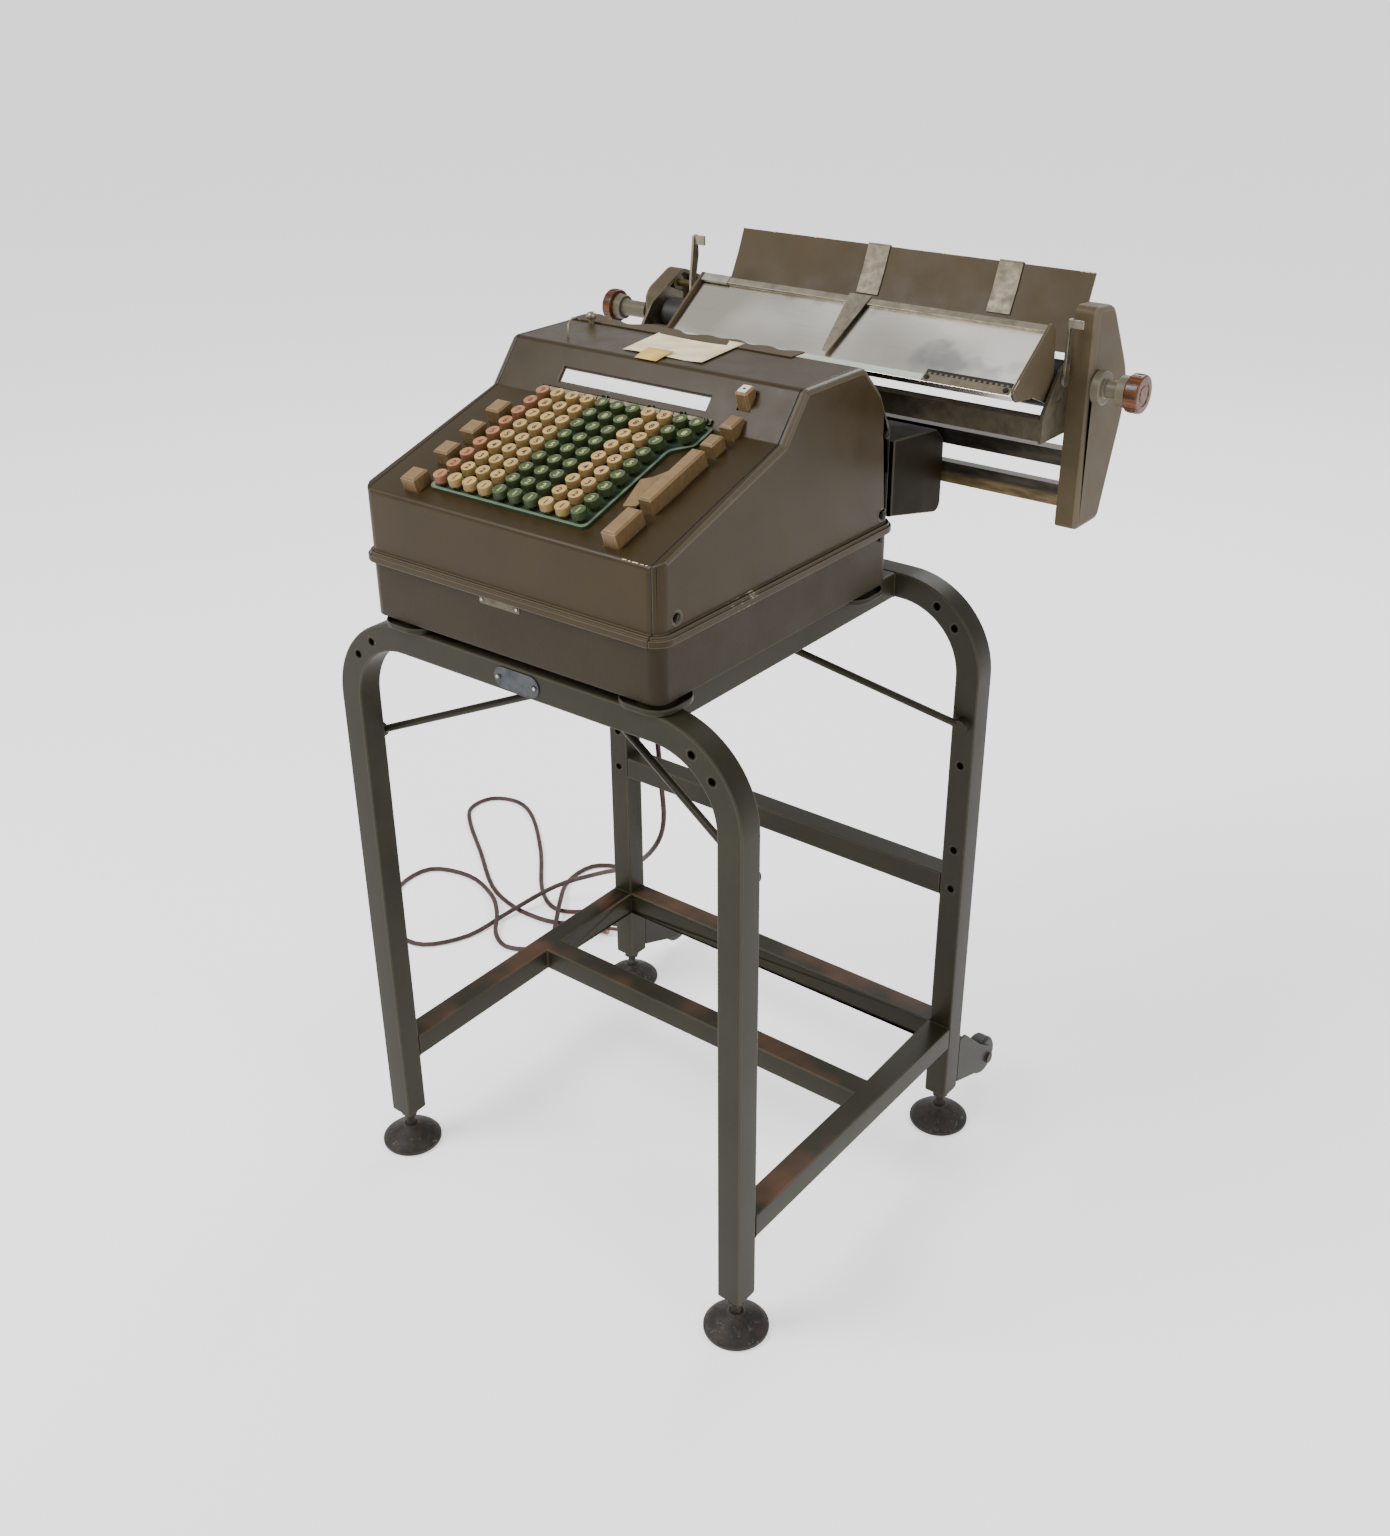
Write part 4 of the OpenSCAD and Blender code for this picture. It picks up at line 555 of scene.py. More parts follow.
def dressed(node, finish, radius, segments=2, chosen=None):
    """The node's own shape with its sharp edges rounded."""
    return part_finished(node, [finish], lambda middle, normal: 0, radius, segments, chosen)


def painted(node, finish):
    """Gives a finish to a node that keeps its own mesh."""
    materials = frame["nodes"][node].data.materials
    materials.clear()
    materials.append(finish_of(finish))


def local_points(node, place):
    """A node's points in the frame of a place, in millimetres."""
    back = place.inverted()
    return [back @ v.co / MM for v in frame["nodes"][node].data.vertices]


def local_box(node, place):
    """The lowest and highest corners of a node in the frame of a place, in millimetres."""
    points = local_points(node, place)
    return [Vector([pick(p[i] for p in points) for i in range(3)]) for pick in (min, max)]


def add_prism(shape, outline, low, high, place=HERE, axis="Z"):
    """Adds an outline of (x, y) points extruded from low to high, or of (x, z) points where the axis is Y."""
    rings = [
        [shape.verts.new(Vector((a, b, h) if axis == "Z" else (a, h, b)) * MM) for a, b in outline]
        for h in (low, high)
    ]
    faces = [shape.faces.new(rings[0]), shape.faces.new(rings[1])]
    for i in range(len(outline)):
        j = (i + 1) % len(outline)
        faces.append(shape.faces.new((rings[0][i], rings[0][j], rings[1][j], rings[1][i])))
    bmesh.ops.recalc_face_normals(shape, faces=faces)
    bmesh.ops.transform(shape, matrix=place, verts=rings[0] + rings[1])


def add_box(shape, x, y, z, place):
    """Adds a box from three (low, high) pairs in millimetres."""
    outline = [(x[0], y[0]), (x[1], y[0]), (x[1], y[1]), (x[0], y[1])]
    add_prism(shape, outline, z[0], z[1], place)


def box_piece(name, boxes, place, body, finish):
    """One finished piece made of boxes, each given as three (low, high) pairs."""
    shape = bmesh.new()
    for x, y, z in boxes:
        add_box(shape, x, y, z, place)
    fitted(name, shape, body, [finish])


def add_lathe(shape, profile, place, sides):
    """Adds a turned shape from (radius, height) pairs about the place's Z axis, closed at both ends."""
    rings = []
    for radius, height in profile:
        turns = [2 * math.pi * i / sides for i in range(sides if radius else 1)]
        rings.append([
            shape.verts.new(Vector((radius * math.cos(a), radius * math.sin(a), height)) * MM) for a in turns
        ])
    faces = []
    for first, second in zip(rings, rings[1:]):
        for i in range(sides):
            j = (i + 1) % sides
            corners = [ring[k % len(ring)] for ring, k in ((first, i), (first, j), (second, j), (second, i))]
            corners = list(dict.fromkeys(corners))
            if len(corners) > 2:
                faces.append(shape.faces.new(corners))
    bmesh.ops.recalc_face_normals(shape, faces=faces)
    bmesh.ops.transform(shape, matrix=place, verts=[p for ring in rings for p in ring])


def rounded_box(x, y, radius):
    """The outline of a rectangle with rounded corners, from its (low, high) pairs."""
    points = []
    steps = 3
    for corner in range(4):
        a = x[0] + radius if corner in (0, 3) else x[1] - radius
        b = y[0] + radius if corner < 2 else y[1] - radius
        for step in range(steps + 1):
            turn = math.pi / 2 * (corner + 2 + step / steps)
            points.append((a + radius * math.cos(turn), b + radius * math.sin(turn)))
    return points


def wire(name, points, radius):
    """The curve of a round bar through the points, in metres."""
    curve = bpy.data.curves.new(name, "CURVE")
    curve.dimensions = "3D"
    spline = curve.splines.new("POLY")
    spline.points.add(len(points) - 1)
    for point, place in zip(spline.points, points):
        point.co = (*place, 1)
    curve.bevel_depth = radius
    curve.bevel_resolution = 2
    curve.use_fill_caps = True
    return curve


def mesh_from(name, curve):
    """The mesh that a curve makes."""
    made = object_of(name, curve)
    mesh = bpy.data.meshes.new_from_object(made.evaluated_get(bpy.context.evaluated_depsgraph_get()))
    bpy.data.objects.remove(made)
    bpy.data.curves.remove(curve)
    return mesh


# Geometry Nodes


def grown(name, holder, tree, values, body, replaced=()):
    """Runs a Geometry Nodes tree on a holder object and keeps its result as a plain mesh."""
    modifier = holder.modifiers.new("Grown", "NODES")
    modifier.node_group = tree
    for item in tree.interface.items_tree:
        if item.item_type == "SOCKET" and item.in_out == "INPUT" and item.name in values:
            modifier[item.identifier] = values[item.name]
    graph = bpy.context.evaluated_depsgraph_get()
    mesh = bpy.data.meshes.new_from_object(
        holder.evaluated_get(graph), preserve_all_data_layers=True, depsgraph=graph
    )
    bpy.data.objects.remove(holder)
    mesh.name = name
    smooth_sharp(mesh, REPEATED_SHARP)
    riding(name, mesh, body, replaced)


def inputs_of(tree, **sockets):
    """A tree's inputs, made from names and kinds, where a low line in a name stands for a space."""
    for name, kind in sockets.items():
        tree.interface.new_socket(name.replace("_", " "), in_out="INPUT", socket_type="NodeSocket" + kind)
    tree.interface.new_socket("Geometry", in_out="OUTPUT", socket_type="NodeSocketGeometry")
    return add_node(tree, "NodeGroupInput").outputs


def fed(tree, kind, links, settings=None, output=0):
    """One output of a new node that the links feed."""
    return add_node(tree, kind, settings, links).outputs[output]


def ended(tree, instances, finish):
    """Ends a tree: makes its instances real and gives them a material."""
    solid = fed(tree, "GeometryNodeRealizeInstances", {"Geometry": instances})
    coloured = fed(tree, "GeometryNodeSetMaterial", {"Geometry": solid, "Material": finish})
    add_node(tree, "NodeGroupOutput", {}, {0: coloured})
    return tree


def key_bank_tree():
    """Rows and columns of one cap, tilted onto the sloping face."""
    tree = bpy.data.node_groups.new("key_bank", "GeometryNodeTree")
    given = inputs_of(tree, Geometry="Geometry", Columns="Int", Rows="Int", Pitch="Float", First_Key="Vector",
                      Tilt="Float", Finish="Material")
    across = fed(tree, "ShaderNodeCombineXYZ", {"X": given["Pitch"]})
    up = fed(tree, "ShaderNodeCombineXYZ", {"Y": given["Pitch"]})
    row = fed(tree, "GeometryNodeMeshLine", {"Count": given["Columns"], "Offset": across})
    column = fed(tree, "GeometryNodeMeshLine", {"Count": given["Rows"], "Offset": up})
    field = fed(tree, "GeometryNodeInstanceOnPoints", {"Points": row, "Instance": column})
    places = fed(tree, "GeometryNodeRealizeInstances", {"Geometry": field})
    caps = fed(tree, "GeometryNodeInstanceOnPoints", {"Points": places, "Instance": given["Geometry"]})
    turn = fed(tree, "ShaderNodeCombineXYZ", {"X": given["Tilt"]})
    links = {"Geometry": caps, "Translation": given["First Key"], "Rotation": turn}
    return ended(tree, fed(tree, "GeometryNodeTransform", links), given["Finish"])


def fastener_tree():
    """One fastener on every point, its head along the point's direction."""
    tree = bpy.data.node_groups.new("fasteners", "GeometryNodeTree")
    given = inputs_of(tree, Geometry="Geometry", Fastener="Object", Size="Float", Turn="Float", Seed="Int",
                      Finish="Material")
    shape = fed(tree, "GeometryNodeObjectInfo", {"Object": given["Fastener"]}, {}, "Geometry")
    way = fed(tree, "GeometryNodeInputNamedAttribute", {}, {"data_type": "FLOAT_VECTOR", "Name": "way"},
              "Attribute")
    aim = fed(tree, "FunctionNodeAlignRotationToVector", {"Vector": way}, {"axis": "Z"})
    # Output 1 of a random value node is its single number
    spin = fed(tree, "FunctionNodeRandomValue", {"Max": given["Turn"], "Seed": given["Seed"]},
               {"data_type": "FLOAT"}, 1)
    slot = fed(tree, "ShaderNodeCombineXYZ", {"Z": spin})
    turned = fed(tree, "FunctionNodeRotateRotation", {"Rotation": aim, "Rotate By": slot},
                 {"rotation_space": "LOCAL"})
    links = {"Points": given["Geometry"], "Instance": shape, "Rotation": turned, "Scale": given["Size"]}
    return ended(tree, fed(tree, "GeometryNodeInstanceOnPoints", links), given["Finish"])


_trees = {}


def tree_of(make):
    if make.__name__ not in _trees:
        _trees[make.__name__] = make()
    return _trees[make.__name__]


# Half the width of a screw's slot
SLOT_HALF = 0.16


def screw_shape():
    """A slotted cheese-head screw of one millimetre radius, its seat at zero."""
    shape = bmesh.new()
    add_lathe(shape, [(0, -0.4), (1, -0.4), (1, 0.25), (0, 0.25)], Matrix(), 20)
    start = math.asin(SLOT_HALF)
    for side in (-1, 1):
        turns = [start + (math.pi - 2 * start) * i / 10 for i in range(11)]
        add_prism(shape, [(math.cos(a), side * math.sin(a)) for a in turns], 0.2, 0.62, Matrix())
    return shape


def rivet_shape():
    """A round rivet head of one millimetre radius."""
    shape = bmesh.new()
    steps = [(math.sin(math.radians(90 - a)), 0.62 * math.sin(math.radians(a))) for a in (0, 22, 44, 66)]
    add_lathe(shape, [(0, -0.3), (1, -0.3)] + steps + [(0, 0.62)], Matrix(), 16)
    return shape


def fasteners(name, make_shape, size_mm, places, way, body, finish):
    """Fasteners of one size at the places, all facing one way."""
    sample = object_of(name + "_pattern", mesh_of(name + "_pattern", make_shape()))
    points = bpy.data.meshes.new(name + "_places")
    points.from_pydata([tuple(p) for p in places], [], [])
    ways = points.attributes.new("way", "FLOAT_VECTOR", "POINT")
    ways.data.foreach_set("vector", [*way] * len(places))
    grown(name, object_of(name + "_holder", points), tree_of(fastener_tree), {
        "Fastener": sample, "Size": size_mm, "Turn": math.pi, "Seed": 3, "Finish": finish_of(finish)
    }, body)
    bpy.data.objects.remove(sample)


# The square stem that shows under a key cap
STEM_SHOWN = 9.5
CAP_OVER_SLOPE = 7
# How far a cap reaches below its underside in the frame. More would touch the rim when pressed
CAP_SKIRT = 0.3
# Depth of the dish in a cap's top
DISH = 0.5
DIGIT_SIZE = 9.4
FIRST_KEY_X = -110.7
# Distance up the slope of the front row
FIRST_KEY_S = 31.7


def key_cap_shape():
    """A round key cap with a flat rim, a shallow dish and its square stem, its underside just below zero."""
    made = sizes()
    radius, height = made.key_radius / MM, made.key_height / MM
    shape = bmesh.new()
    add_lathe(shape, [
        (0, -CAP_SKIRT), (radius - 0.05, -CAP_SKIRT), (radius, 0.3 - CAP_SKIRT),
        (radius - 0.45, height - 0.45), (radius - 0.6, height - 0.15), (radius - 0.85, height),
        (radius - 1.45, height), (radius - 1.75, height - 0.2), (radius - 2.3, height - DISH),
        (0, height - DISH)
    ], Matrix(), made.cap_sides)
    add_box(shape, (-2, 2), (-2, 2), (-STEM_SHOWN, 0.5), Matrix())
    return shape


def digit_mesh(text):
    """One numeral as a thin mesh, centred on zero."""
    curve = bpy.data.curves.new("numeral_" + text, "FONT")
    curve.body = text
    curve.size = DIGIT_SIZE * MM
    curve.align_x = "CENTER"
    curve.align_y = "CENTER"
    curve.extrude = 0.06 * MM
    curve.offset = 0.18 * MM
    curve.resolution_u = 3
    mesh = mesh_from("numeral_" + text, curve)
    low, high = (Vector([pick(v.co[i] for v in mesh.vertices) for i in range(3)]) for pick in (min, max))
    mesh.transform(Matrix.Translation(-(low + high) / 2))
    return mesh


def build_key_bank(node, runs, finish, ink):
    """Caps and numerals of one bank. Each run is its first column, last column, first row and last row."""
    body, slot = body_of_node(node), slot_of_node(node)
    pitch = sizes().key_pitch

    def key_place(column, row, height):
        return Vector((FIRST_KEY_X + column * pitch / MM, FIRST_KEY_S + row * pitch / MM, height)) * MM

    top = CAP_OVER_SLOPE + sizes().key_height / MM - DISH + 0.05
    digits = bmesh.new()
    for number, (first, last, low, high) in enumerate(runs):
        name = f"{node}_caps" + ("" if number == 0 else f"_{number + 1}")
        holder = object_of(name + "_holder", mesh_of(name + "_cap", key_cap_shape()))
        grown(name, holder, tree_of(key_bank_tree), {
            "Columns": last - first + 1, "Rows": high - low + 1, "Pitch": pitch,
            "First Key": tuple(SLOPE @ key_place(first, low, CAP_OVER_SLOPE)), "Tilt": SLOPE_ANGLE,
            "Finish": finish_of(finish)
        }, body, [node] if number == 0 else [])
        for column in range(first, last + 1):
            for row in range(low, high + 1):
                digit = digit_mesh(str(row + 1))
                digit.transform(SLOPE @ Matrix.Translation(key_place(column, row, top)))
                digits.from_mesh(digit)
                bpy.data.meshes.remove(digit)
    fitted(f"{node}_numerals", digits, body, [ink])


# Pieces, one operator for each group

# The camera's azimuth, elevation and roll in degrees, and its place, fitted to the stand's straight edges
VIEW_ANGLES = (38.063, 28.160, -0.510)
VIEW_PLACE = (980.6, -1210.2, 1335.7)


class MACHINE_OT_camera(bpy.types.Operator):
    """Places the camera that sees the machine as in the reference view"""

    bl_idname = "machine.camera"
    bl_label = "Camera"

    def execute(self, context):
        azimuth, elevation, roll = (math.radians(a) for a in VIEW_ANGLES)
        flat = math.cos(elevation)
        ahead = Vector((-math.sin(azimuth) * flat, math.cos(azimuth) * flat, -math.sin(elevation)))
        right = ahead.cross(Vector((0, 0, 1))).normalized()
        up = right.cross(ahead)
        level, lean = math.cos(roll), math.sin(roll)
        axes = (right * level + up * lean, up * level - right * lean, -ahead)
        data = bpy.data.cameras.new("view_camera")
        data.lens = sizes().camera_focal
        data.sensor_width = 36
        data.clip_end = 60
        camera = object_of("view_camera", data)
        camera.matrix_world = Matrix.Translation(at(*VIEW_PLACE)) @ Matrix(axes).transposed().to_4x4()
        context.scene.camera = camera
        return {"FINISHED"}


# The flex drops from the gland behind the rear left leg, then lies on the floor in loose loops, to its plug
CORD_START = [
    (-150, 181, 740), (-150, 207, 740), (-151, 227, 734), (-154, 244, 718), (-158, 252, 691), (-168, 248, 640)
]
CORD_ROUTE = [
    (-200, 247, 540), (-222, 246, 420), (-216, 244, 320), (-212, 244, 250), (-236, 252, 196),
    (-300, 278, 130), (-390, 304, 70), (-460, 288, 30), (-490, 222, 9), (-500, 142, 3.5),
    (-536, 86, 3.5), (-590, 84, 3.5), (-636, 124, 3.5), (-680, 176, 3.5), (-678, 238, 3.5),
    (-616, 260, 3.5), (-550, 240, 6), (-500, 202, 12), (-470, 168, 6), (-437, 155, 3.5),
    (-404, 172, 4), (-396, 206, 7), (-416, 240, 13), (-448, 284, 11), (-482, 338, 3.5),
    (-482, 396, 3.5), (-440, 420, 3.5), (-396, 394, 3.5), (-388, 336, 3.5), (-408, 292, 3.5),
    (-448, 272, 3.5), (-500, 300, 3.5), (-576, 380, 3.5), (-660, 452, 3.5), (-716, 476, 3.5),
    (-760, 458, 3.5), (-764, 414, 3.5), (-728, 376, 3.5), (-652, 322, 3.5), (-566, 260, 3.5),
    (-500, 238, 3.5), (-446, 238, 3.5), (-404, 246, 8), (-378, 258, 13.2)
]
CORD_DIAMETER = 7 * MM
CORD_STEPS = 4


def cord_line():
    """The points of the flex, smoothed, in the frame's metres."""
    given = [at(*p) for p in CORD_START + CORD_ROUTE]
    line = []
    for i in range(len(given) - 1):
        b, c = given[i], given[i + 1]
        a = given[i - 1] if i else 2 * b - c
        d = given[i + 2] if i + 2 < len(given) else 2 * c - b
        for step in range(CORD_STEPS):
            t = step / CORD_STEPS
            point = (
                2 * b + (c - a) * t + (2 * a - 5 * b + 4 * c - d) * t ** 2 + (3 * b - a - 3 * c + d) * t ** 3
            ) / 2
            point.z = max(point.z, CORD_DIAMETER / 2)
            line.append(point)
    return line + [given[-1]]


class MACHINE_OT_cord(bpy.types.Operator):
    """Lays the rubber flex from the gland to its plug"""

    bl_idname = "machine.cord"
    bl_label = "Flex"

    def execute(self, context):
        line = cord_line()
        curve = wire("flex", line, CORD_DIAMETER / 2)
        curve.resolution_u = 1
        curve.materials.append(finish_of("rubber_flex"))
        flex = object_of("flex", curve)
        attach(flex, ROOT)
        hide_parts("power_cord")
        plug = dressed("cord_plug", "marbled_bakelite", 0.6 * MM)
        gland = dressed("cord_gland", "pad_rubber", 0.5 * MM)
        return {"FINISHED"}


# The studio's lamps: name, place, width and watts
LAMPS = (
    ("key_light", (-1.6, -2.2, 3.4), 1.8, 135),
    ("right_light", (3.2, -0.6, 2.2), 1.4, 30),
    ("back_light", (-0.4, 2.6, 2.8), 1.6, 45)
)
LAMP_AIM = Vector((0, 0, 0.7))


def area_light(name, place, size, watts):
    data = bpy.data.lights.new(name, "AREA")
    data.shape = "DISK"
    data.size = size
    data.energy = watts
    light = object_of(name, data)
    turn = (place - LAMP_AIM).to_track_quat("Z", "Y").to_matrix().to_4x4()
    light.matrix_world = Matrix.Translation(place) @ turn


class MACHINE_OT_stage(bpy.types.Operator):
    """Sets up the pale floor and soft studio light"""

    bl_idname = "machine.stage"
    bl_label = "Studio"

    def execute(self, context):
        shape = bmesh.new()
        bmesh.ops.create_grid(shape, x_segments=1, y_segments=1, size=25)
        mesh = mesh_of("floor", shape)
        paper = Coat("studio_paper", {
            "Base Color": linear("#f7f6f6"), "Roughness": 0.9, "Specular IOR Level": 0.1,
            "Emission Color": (1, 0.995, 0.995, 1), "Emission Strength": 0.75
        })
        mesh.materials.append(paper.material)
        floor = object_of("floor", mesh)
        world = bpy.data.worlds.new("studio")
        world.use_nodes = True
        background = world.node_tree.nodes["Background"]
        background.inputs["Color"].default_value = (0.93, 0.94, 0.96, 1)
        background.inputs["Strength"].default_value = 0.85
        context.scene.world = world
        for name, place, size, watts in LAMPS:
            area_light(name, Vector(place), size, watts)
        return {"FINISHED"}


# How far the tag plate's rivets stand from its middle
TAG_RIVET_REACH = 23.5 * MM


class MACHINE_OT_stand(bpy.types.Operator):
    """Builds the tubular stand, its rods, cups and tag plate"""

    bl_idname = "machine.stand"
    bl_label = "Stand"

    def execute(self, context):
        tube = sizes().tube_edge
        for node in ("front_frame", "rear_frame", "upper_rails"):
            dressed(node, "tube_enamel", tube)
        dressed("lower_rails", "foot_rail_enamel", tube)
        painted("brace_rods", "tube_enamel")
        dressed("machine_cups", "tube_enamel", 1.2 * MM)
        dressed("tag_plate", "tag_steel", 0.3 * MM)
        low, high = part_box("tag_plate")
        middle, front = (low + high) / 2, low.y + 0.2 * MM
        ends = [Vector((middle.x + side * TAG_RIVET_REACH, front, middle.z)) for side in (-1, 1)]
        fasteners("tag_rivets", rivet_shape, 1.9, ends, (0, -1, 0), ROOT, "bright_steel")
        return {"FINISHED"}


class MACHINE_OT_feet(bpy.types.Operator):
    """Finishes the screw feet and the rear wheels"""

    bl_idname = "machine.feet"
    bl_label = "Feet and wheels"

    def execute(self, context):
        for node in ("foot_front_left", "foot_front_right", "foot_rear_left", "foot_rear_right"):
            dressed(node, "grey_iron", 0.7 * MM)
        for node in ("caster_wheel_left", "caster_wheel_right"):
            dressed(node, "tyre_rubber", 0.8 * MM)
        dressed("caster_brackets", "foot_rail_enamel", 0.8 * MM)
        return {"FINISHED"}


# The seams between the covers: how far in from the case's sides, the reach of their dark faces, their edge
SEAM_INSET = 8 * MM
SEAM_REACH = 1.2 * MM
SEAM_EDGE = 0.9 * MM
CASE_FINISHES = ("cover_enamel", "blackened_steel")
# The screws in the case's right side: place from front to back, and height
CASE_SCREWS = ((-198, 789), (133, 870), (133, 787), (131, 763))
# Chips in the front fold's paint: place across, length and width
FOLD_CHIPS = ((131, 5, 1.1), (137.5, 3, 0.7), (142, 7, 0.9), (151, 4, 0.6), (156.5, 2.4, 0.8))
# The bare plate on the front: its edges across and in height, and the places of its screws
FRONT_PLATE = ((-44, 7), (759, 767))
FRONT_PLATE_SCREWS = (-40.5, 3.5)


def in_seam(middle, normal):
    """One for the narrow faces inside the two seams, which show as dark lines."""
    distance = min(abs(middle.x - x) for x in (CASE_LOW.x + SEAM_INSET, CASE_HIGH.x - SEAM_INSET))
    return int(abs(normal.x) > 0.3 and distance < SEAM_REACH)


def outer_face_edge(face, above=-math.inf):
    """Picks the edges that lie on a piece's outer face, which looks along X, above a height."""
    def chosen(edge):
        return all(abs(v.co.x - face) < 0.2 * MM and v.co.z > above for v in edge.verts)

    return chosen


class MACHINE_OT_case(bpy.types.Operator):
    """Builds the enamelled case and its screws"""

    bl_idname = "machine.case"
    bl_label = "Case"

    def execute(self, context):
        dressed("lower_case", "wrinkle_enamel", sizes().sheet_edge)
        part_finished("centre_cover", CASE_FINISHES, in_seam, SEAM_EDGE)
        for node, side in (("left_side_cover", CASE_LOW.x), ("right_side_cover", CASE_HIGH.x)):
            shape = welded(node)
            round_edges(shape, sizes().cover_edge, 4, outer_face_edge(side, SEAM_Z + 12 * MM))
            round_edges(shape, SEAM_EDGE, 2, None, 50)
            for face in shape.faces:
                face.material_index = in_seam(face.calc_center_median(), face.normal)
            fitted(node + "_finished", shape, ROOT, CASE_FINISHES, [node])
        painted("cover_screws", "blackened_steel")
        screws = [Vector((CASE_HIGH.x + 0.2 * MM, *at(0, y, z).yz)) for y, z in CASE_SCREWS]
        fasteners("case_screws", screw_shape, 3.1, screws, (1, 0, 0), ROOT,
                  "blackened_steel")
        shape = bmesh.new()
        for x, length, width in FOLD_CHIPS:
            outline = [(x, 0.6), (x + length, 0.9), (x + length * 0.8, 0.9 + width), (x + 0.4, 0.7 + width)]
            add_prism(shape, outline, -0.05, 0.06, SLOPE)
        fitted("front_fold_chips", shape, ROOT, ["bare_primer"])
        shape = bmesh.new()
        front = (CASE_LOW.y - STAND_MIDDLE_Y) / MM
        add_prism(shape, rounded_box(*FRONT_PLATE, 2), front - 0.6, front + 0.3, HERE, "Y")
        fitted("front_plate", shape, ROOT, ["oiled_steel"])
        screws = [at(x, front - 0.5, sum(FRONT_PLATE[1]) / 2) for x in FRONT_PLATE_SCREWS]
        fasteners("front_plate_screws", screw_shape, 1.5, screws, (0, -1, 0), ROOT, "bright_steel")
        return {"FINISHED"}


FUNCTION_KEYS = (
    "left_key_1", "left_key_2", "left_key_3", "left_key_4", "right_key_1", "right_key_2", "right_key_3",
    "motor_bar", "front_key"
)
# Heights over the slope above which the keyboard plate's rim and the keys' upper edges begin
RIM_FROM = 2.6 * MM
KEY_TOP_FROM = 5.5 * MM
# How far the pale label on a function key stays in from its edges
LABEL_INSET = 2.3


class MACHINE_OT_keyboard(bpy.types.Operator):
    """Builds the keyboard plate, the number keys and the function keys"""

    bl_idname = "machine.keyboard"
    bl_label = "Keyboard"

    def execute(self, context):
        down_slope = SLOPE.inverted()

        def on_rim(middle, normal):
            return int((down_slope @ middle).z > RIM_FROM)

        def upper(edge):
            return all((down_slope @ v.co).z > KEY_TOP_FROM for v in edge.verts)

        part_finished("keyboard_plate", ["key_well_enamel", "rim_enamel"], on_rim, 0.25 * MM, 1)
        build_key_bank("keys_columns_1", [(0, 0, 0, 8)], "red_acetate", "red_ink")
        build_key_bank("keys_columns_2_4", [(1, 3, 0, 8)], "cream_acetate", "dark_ink")
        build_key_bank("keys_columns_5_7", [(4, 6, 0, 8)], "green_acetate", "light_ink")
        build_key_bank("keys_columns_8_9", [(7, 8, 0, 8)], "cream_acetate", "dark_ink")
        build_key_bank("keys_columns_10_11", [(9, 9, 0, 8), (10, 10, 7, 8)], "green_acetate", "light_ink")
        for node in FUNCTION_KEYS:
            shape = welded(node)
            round_edges(shape, 1.9 * MM, 1, upper)
            for face in shape.faces:
                face[shape.faces.layers.float["edge_wear_and_sheen"]] = 0
            round_edges(shape, 0.3 * MM, 2, upper, 24)
            fitted(node + "_finished", shape, body_of_node(node), ["tan_acetate"], [node])
        low, high = local_box("right_key_3", SLOPE)
        middle = (low + high) / 2
        shape = bmesh.new()
        label = rounded_box(
            (low.x + LABEL_INSET, high.x - LABEL_INSET), (low.y + LABEL_INSET, high.y - LABEL_INSET), 1
        )
        add_prism(shape, label, high.z - 0.1, high.z + 0.15, SLOPE)
        before = len(shape.faces)
        dot = SLOPE @ Matrix.Translation(Vector((middle.x, middle.y, high.z)) * MM)
        add_lathe(shape, [(0, 0.1), (1.5, 0.1), (1.5, 0.3), (0, 0.3)], dot, 20)
        shape.faces.ensure_lookup_table()
        for face in shape.faces[before:]:
            face.material_index = 1
        fitted("right_key_3_label", shape, body_of_node("right_key_3"),
               ["dial_enamel", "dark_ink"])
        dressed("slide_lever", "tan_acetate", 0.4 * MM)
        return {"FINISHED"}


# The window's opening on the steep face, across and up, with the width of the dark line round it, which is dirt
# and painted shade of the opening's edge
WINDOW_X = (-112, 72)
WINDOW_Y = (16, 33)
DIRT_AND_SHADE_LINE = 1.7
# The comma bar's steps: how many, how far in from its ends, and the gap at each side of one
STEPS = 12
STEPS_INSET = 13
STEP_GAP = 0.6


